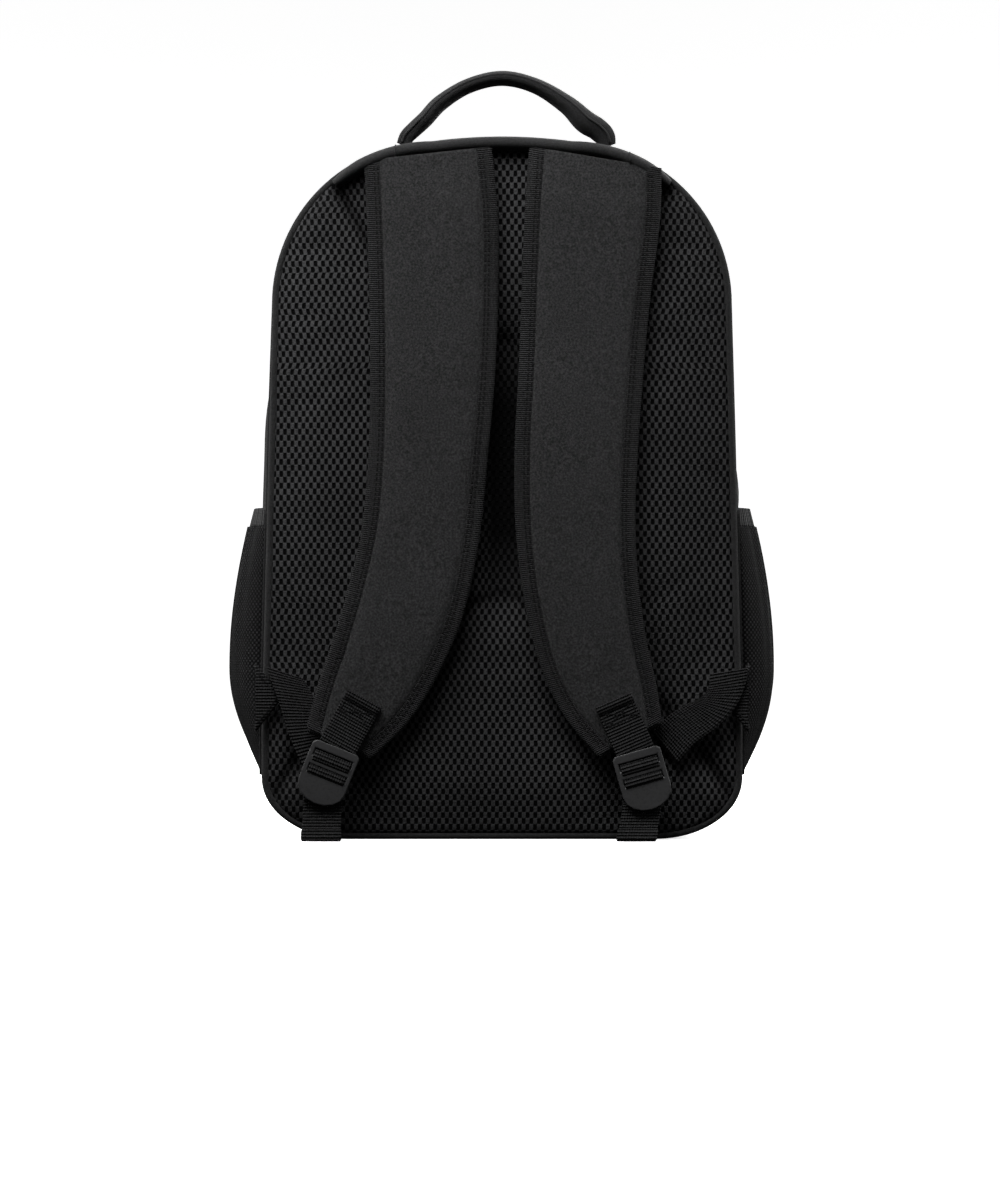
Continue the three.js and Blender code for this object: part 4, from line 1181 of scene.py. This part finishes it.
def front_stitches(name, shell, bulge):
    """Topstitching round the rim of a front panel, lying on the crowned cloth."""
    inset = 8.0
    line = outline(shell, shell["front_y"], inset)
    crown = bulge * float(cushion(np.array([inset - 0.6]), 70)[0])
    closed = at_depth(np.concatenate([line, line[:1]]), shell["front_y"] + crown + 0.15)
    made = stitches(name, [closed], (0.9, 2.6, 0.7), 3.6, out=(0, 1, 0))
    fold_blend(made)


def build_front_face(prefix, shell, bodies, bulge, piping_radius, **panel):
    """A shell's front: its cloth, the piping round it and the topstitching."""
    build_front_panel(f"{prefix}_panel_cloth", shell, bodies, bulge, **panel)
    front_piping(f"{prefix}_edge_piping", shell, piping_radius)
    front_stitches(f"{prefix}_panel_stitches", shell, bulge)


def build_zip(prefix, shell, zip_y, tape_width, bodies):
    """Two rows of coil teeth and their tapes along the arch, on the body behind it and the one before."""
    tooth_pitch = 1.9
    for side, sign, body in (("rear", -1, bodies[0]), ("front", 1, bodies[1])):
        from_z = shell[f"{side}_z"]
        near = zip_y + sign * (TOOTH_ROW + 0.2)
        far = zip_y + sign * (TOOTH_ROW + 0.45 + tape_width)
        node_name = f"{side}_zip" if prefix == "main" else f"pouch_{side}_zip"
        depths = np.linspace(near - sign * 1.6, far + sign * 0.6, 5)
        points = band_points(arch, shell, depths, 0.5, from_z)
        sheet_piece(f"{prefix}_{side}_tape", points, "zip_tape", 0.7, body, "zip_tape", [f"{node_name}_tape"])
        tooth_y = zip_y + sign * 1.1
        line = at_depth(arch(shell, tooth_y, -0.2, from_z), tooth_y)
        at, axes = stitch_arch(line, tooth_pitch, 0 if sign < 0 else tooth_pitch / 2)
        teeth = blocks(f"{prefix}_{side}_teeth", at, axes, (2.9, 1.25, 1.5), LOOK["coil"], taper=0.62)
        place(teeth, body, "zip_teeth", [f"{node_name}_teeth"])
        rim = band_points(arch, shell, [far - sign * 0.2, far + sign * 1.2], -0.35, from_z)
        edge = tube(f"{prefix}_{side}_zip_welt", rim.mean(1), 0.9, LOOK["canvas"], sides=8)
        place(edge, body, "canvas")


def stitch_arch(line, pitch, offset):
    """Middles and axes along a line in the XZ plane, with the third axis outwards from the bag."""
    at, along = steps_along(line, 2 + offset, 2, pitch)
    depth = np.broadcast_to(np.array([0, 1.0, 0]), along.shape)
    out = np.cross(depth, along)
    flip = np.sign((out * (at - np.array([0, 0, 200.0]))).sum(1, keepdims=True))
    return at, np.stack([depth, along, out * flip], 1)


def build_front():
    """Front gusset and panel of the main compartment; the gusset is put on the front flap's body."""
    depths = np.linspace(38.6, 61.6, 12)
    points = band_points(arch, MAIN, depths, 0, MAIN["front_z"])
    points = points + away_from_middle(points) * soft_waves(points, 0.7, 23)[..., None]
    cloth = body_cloth("front_gusset_cloth", points, 1.5, "front_flap", "front_gusset")
    strip_sheet(arch, MAIN, depths, MAIN["front_z"])
    build_front_face(
        "front", MAIN, ("pack_body", "front_flap"), bulge=2.2, piping_radius=1.7,
        seed=31, replaced=["front_panel", "lower_front_panel"],
    )


def build_pouch():
    rear = np.linspace(62.6, 71.2, 6)
    points = band_points(arch, POUCH, rear, 0, POUCH["rear_z"])
    body_cloth("pouch_rear_gusset_cloth", points, 1.4, "front_flap", "pouch_rear_gusset")
    floor_depths = np.linspace(62.6, 95.4, 12)
    floor = band_points(foot, POUCH, floor_depths, 0, POUCH["split_z"])
    cloth = body_cloth("pouch_foot_cloth", floor, 1.4, "front_flap", "pouch_foot")
    strip_sheet(foot, POUCH, floor_depths, POUCH["split_z"])
    front = np.linspace(85.4, 95.4, 6)
    points = band_points(arch, POUCH, front, 0, POUCH["front_z"])
    body_cloth("pouch_front_gusset_cloth", points, 1.4, "pouch_flap", "pouch_front_gusset")
    build_front_face(
        "pouch", POUCH, ("front_flap", "pouch_flap"), bulge=1.6, piping_radius=1.5,
        seed=32, replaced=["pouch_panel", "pouch_lower_panel"], spacing=3.4,
        recess=(ACCESSORY_HALF, 6, ACCESSORY_Z),
    )


def build_accessory_zip():
    """Straight zip across the pocket's front: two tapes and a closed row of teeth."""
    for name, low, high in (("upper", 2.6, 5.8), ("lower", -5.8, -2.6)):
        x = np.linspace(-ACCESSORY_HALF, ACCESSORY_HALF, 60)
        z = np.linspace(ACCESSORY_Z + low, ACCESSORY_Z + high, 3)
        points = at_depth(np.stack(np.meshgrid(x, z, indexing="ij"), -1), ACCESSORY_Y)
        nodes = [f"accessory_zip_{name}_tape"]
        sheet_piece(
            f"accessory_{name}_tape", points, "zip_tape", 0.7, "pouch_flap", "zip_tape", nodes, (0, 1, 0)
        )
    reach = ACCESSORY_HALF - 1.5
    stops = np.arange(-reach, reach, 0.95)
    sign = np.where(np.arange(len(stops)) % 2 == 0, -1, 1)
    at = np.stack([stops, np.full(len(stops), ACCESSORY_Y + 0.2), ACCESSORY_Z + sign * 1.05], 1)
    axes = np.broadcast_to(np.array([[0, 0, 1.0], [1, 0, 0], [0, 1, 0]]), (len(stops), 3, 3))
    teeth = blocks("accessory_teeth", at, axes, (2.8, 1.2, 1.5), LOOK["coil"], taper=0.62)
    place(teeth, "pouch_flap", "zip_teeth", ["accessory_zip_teeth"])


def build_sliders():
    for name in ("main_left", "main_right", "pouch", "accessory"):
        bevelled_copy(f"{name}_slider", f"{name}_zip_slider", "metal", f"{name}_slider", "zip_metal", 0.5)
        bevelled_copy(f"{name}_puller", f"{name}_zip_puller", "metal", f"{name}_puller", "zip_metal", 0.55)


# ---------------------------------------------------------------- side pockets


def side_x(y, z):
    """Half width of the main shell's side at a depth and height."""
    s = section(MAIN, y, 0)
    lean = np.maximum(0, (z - MAIN["split_z"]) / (s["corner_z"] - MAIN["split_z"]))
    return s["half_width"] + (s["corner_x"] + s["radius"] - s["half_width"]) * lean


POCKET_FOOT, POCKET_NET_TOP, POCKET_HEM_TOP = 39, 204.6, 216
POCKET_REAR_Y, POCKET_FRONT_Y = -58, 14
POCKET_FULLEST_Z = 110


def pocket_reach(z):
    """Half width that a side pocket reaches at its middle."""
    rise = POCKET_FULLEST_Z - POCKET_FOOT
    low = np.sin(math.pi / 2 * np.clip((z - POCKET_FOOT) / rise, 0, 1))
    high = np.cos(math.pi / 2 * np.clip((z - POCKET_FULLEST_Z) / 130, 0, 1))
    return 157 + 23 * np.where(z < POCKET_FULLEST_Z, low, high)


def pocket_points(sign, heights, columns, extra):
    """Points [height][from the rear edge to the front edge] of a side pocket."""
    depth = np.linspace(0, 1, columns)
    y = POCKET_REAR_Y + (POCKET_FRONT_Y - POCKET_REAR_Y) * depth
    z, y = np.meshgrid(heights, y, indexing="ij")
    across = np.broadcast_to(depth, z.shape)
    swell = (1 - np.abs(2 * across - 1) ** 2.6) ** 0.7
    seam = side_x(y, z) + 0.6
    reach = np.maximum(seam, pocket_reach(z) - 0.4)
    x = seam + (reach - seam) * swell + extra(across, z) * swell
    return np.stack([sign * x, y, z], -1)


def build_pocket(side, sign):
    random = np.random.default_rng(41 if side == "left" else 42)
    phases = random.uniform(0, 6.3, 4)

    def folds(across, z):
        """Upright folds that gather under the elastic and die out at the foot."""
        height = np.clip((z - 45) / 160, 0, 1)
        fold = np.sin(across * 27 + phases[0] + 1.3 * height) + 0.6 * np.sin(across * 47 + phases[1] - height)
        slack = np.sin(z / 23 + phases[2]) * np.sin(across * 9 + phases[3])
        return (0.5 + 1.1 * height**1.5) * fold * bell(across, -0.15, 1.15) + 0.8 * slack

    def gathers(across, _):
        return 0.9 * np.sin(across * 62 + phases[1]) + 0.5 * np.sin(across * 33 + phases[2])

    heights = np.linspace(POCKET_FOOT, POCKET_NET_TOP, 84)
    points = pocket_points(sign, heights, 72, folds)
    cloth = sheet_piece(
        f"{side}_pocket_net", points, "pocket_net", 0.9, "pack_body", "mesh_cloth",
        [f"{side}_side_pocket"], (sign, 0, 0),
    )
    hem = np.linspace(POCKET_NET_TOP, POCKET_HEM_TOP, 8)
    hem_heights = np.concatenate([[204.2], hem, [216.4]])
    points = pocket_points(sign, hem_heights, 90, gathers)
    points[[0, -1], :, 0] -= sign * 0.7
    sheet_piece(
        f"{side}_pocket_hem", points, "elastic", 1.8, "pack_body", "elastic",
        [f"{side}_pocket_elastic"], (sign, 0, 0),
    )
    build_pocket_binding(side, sign)


def build_pocket_binding(side, sign):
    """Ribbed tape over the seam that joins the pocket to the back edge."""
    z = np.linspace(42, 214, 60)
    for name, y in (("rear", -58.6), ("front", 14.4)):
        x = side_x(np.full(60, y), z) + 1.0
        path = at_depth(np.stack([sign * x, z], 1), y)
        tape = ribbon(f"{side}_pocket_{name}_tape", path, (0, 1, 0), LOOK["elastic"], width=7, thickness=1.4)
        place(tape, "pack_body", "elastic")


# ---------------------------------------------------------------- stage, light and camera

CAMERA_DISTANCE = 2.6
CAMERA_HEIGHT = 0.156
VIEW_HEIGHT = 0.78  # what the picture takes in at the back panel


def build_stage():
    """One white sheet: floor, sweep and wall behind, the same all round the bag."""
    radius = np.concatenate([np.linspace(0, 3.6, 10), 3.6 + 1.4 * np.sin(np.linspace(0.1, math.pi / 2, 14))])
    height = np.concatenate([np.zeros(10), 1.4 * (1 - np.cos(np.linspace(0.1, math.pi / 2, 14)))])
    radius, height = np.append(radius, 5.0), np.append(height, 6.0)
    angle = circle(64)
    points = np.stack([
        np.outer(radius, np.cos(angle)), np.outer(radius, np.sin(angle)), np.outer(height, np.ones(64)),
    ], -1) / MM
    sweep = grid("studio_sweep", points, loop_columns=True)
    material = bpy.data.materials.new("studio_sweep")
    material.use_nodes = True
    shader = material.node_tree.nodes["Principled BSDF"]
    shader.inputs["Base Color"].default_value = (0.9, 0.9, 0.9, 1)
    shader.inputs["Roughness"].default_value = 0.9
    shader.inputs["Emission Color"].default_value = (1, 1, 1, 1)
    shader.inputs["Emission Strength"].default_value = 0.8
    sweep.data.materials.append(material)
    sweep.visible_diffuse = sweep.visible_glossy = sweep.visible_shadow = False


def build_world():
    """Soft light all round, stronger from above."""
    world = bpy.data.worlds.new("studio")
    world.use_nodes = True
    tree = world.node_tree
    direction = node(tree, "ShaderNodeTexCoord").outputs["Generated"]
    height = node(tree, "ShaderNodeSeparateXYZ", {0: direction}).outputs[2]
    share = between(tree, height, -0.3, 0.9)
    strength = calc(tree, "ADD", calc(tree, "MULTIPLY", share, 0.36), 0.02)
    background = tree.nodes["Background"]
    background.inputs[0].default_value = (1, 1, 1, 1)
    tree.links.new(strength, background.inputs[1])
    bpy.context.scene.world = world


def add_light(name, position, target, size, power):
    data = bpy.data.lights.new(name, "AREA")
    data.shape = "RECTANGLE"
    data.size, data.size_y = size
    data.energy = power
    light = bpy.data.objects.new(name, data)
    bpy.context.scene.collection.objects.link(light)
    light.location = position
    light.rotation_euler = (Vector(target) - Vector(position)).to_track_quat("-Z", "Y").to_euler()


def build_camera():
    data = bpy.data.cameras.new("camera")
    data.sensor_width = 36
    data.lens = 36 * CAMERA_DISTANCE / VIEW_HEIGHT
    camera = bpy.data.objects.new("camera", data)
    camera.location = (-0.0013, BACK_FACE_Y * MM - CAMERA_DISTANCE, CAMERA_HEIGHT)
    camera.rotation_euler = (math.pi / 2, 0, 0)
    bpy.context.scene.collection.objects.link(camera)
    bpy.context.scene.camera = camera


build_camera()
build_stage()
build_world()
add_light("key", (-0.3, -0.72, 1.26), (0, 0, 0.32), (1.0, 0.6), 30)
add_light("far_side", (0.3, 1.25, 1.0), (0, 0, 0.2), (1.2, 0.9), 34)
add_light("left_side", (-1.3, 0.35, 0.9), (0, 0, 0.22), (0.8, 0.8), 22)
add_light("right_side", (1.3, 0.35, 0.9), (0, 0, 0.22), (0.8, 0.8), 22)
bpy.context.scene.view_settings.view_transform = "Standard"

build_back()
build_edge_piping()
build_top_band()
build_gusset()
build_base()
build_lining()
build_front()
build_pouch()
build_zip("main", MAIN, MAIN_ZIP_Y, MAIN_TAPE, ("pack_body", "front_flap"))
build_zip("pouch", POUCH, POUCH_ZIP_Y, POUCH_TAPE, ("front_flap", "pouch_flap"))
build_accessory_zip()
build_sliders()
for side_name, side_sign in (("left", -1), ("right", 1)):
    build_pocket(side_name, side_sign)
    build_strap(side_name)
    build_tab(side_name)
    build_lock(side_name)
    build_lower_webbing(side_name)
    build_anchor(side_name)
build_handle()
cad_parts["back_board"].data.materials.clear()
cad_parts["back_board"].data.materials.append(LOOK["board"])
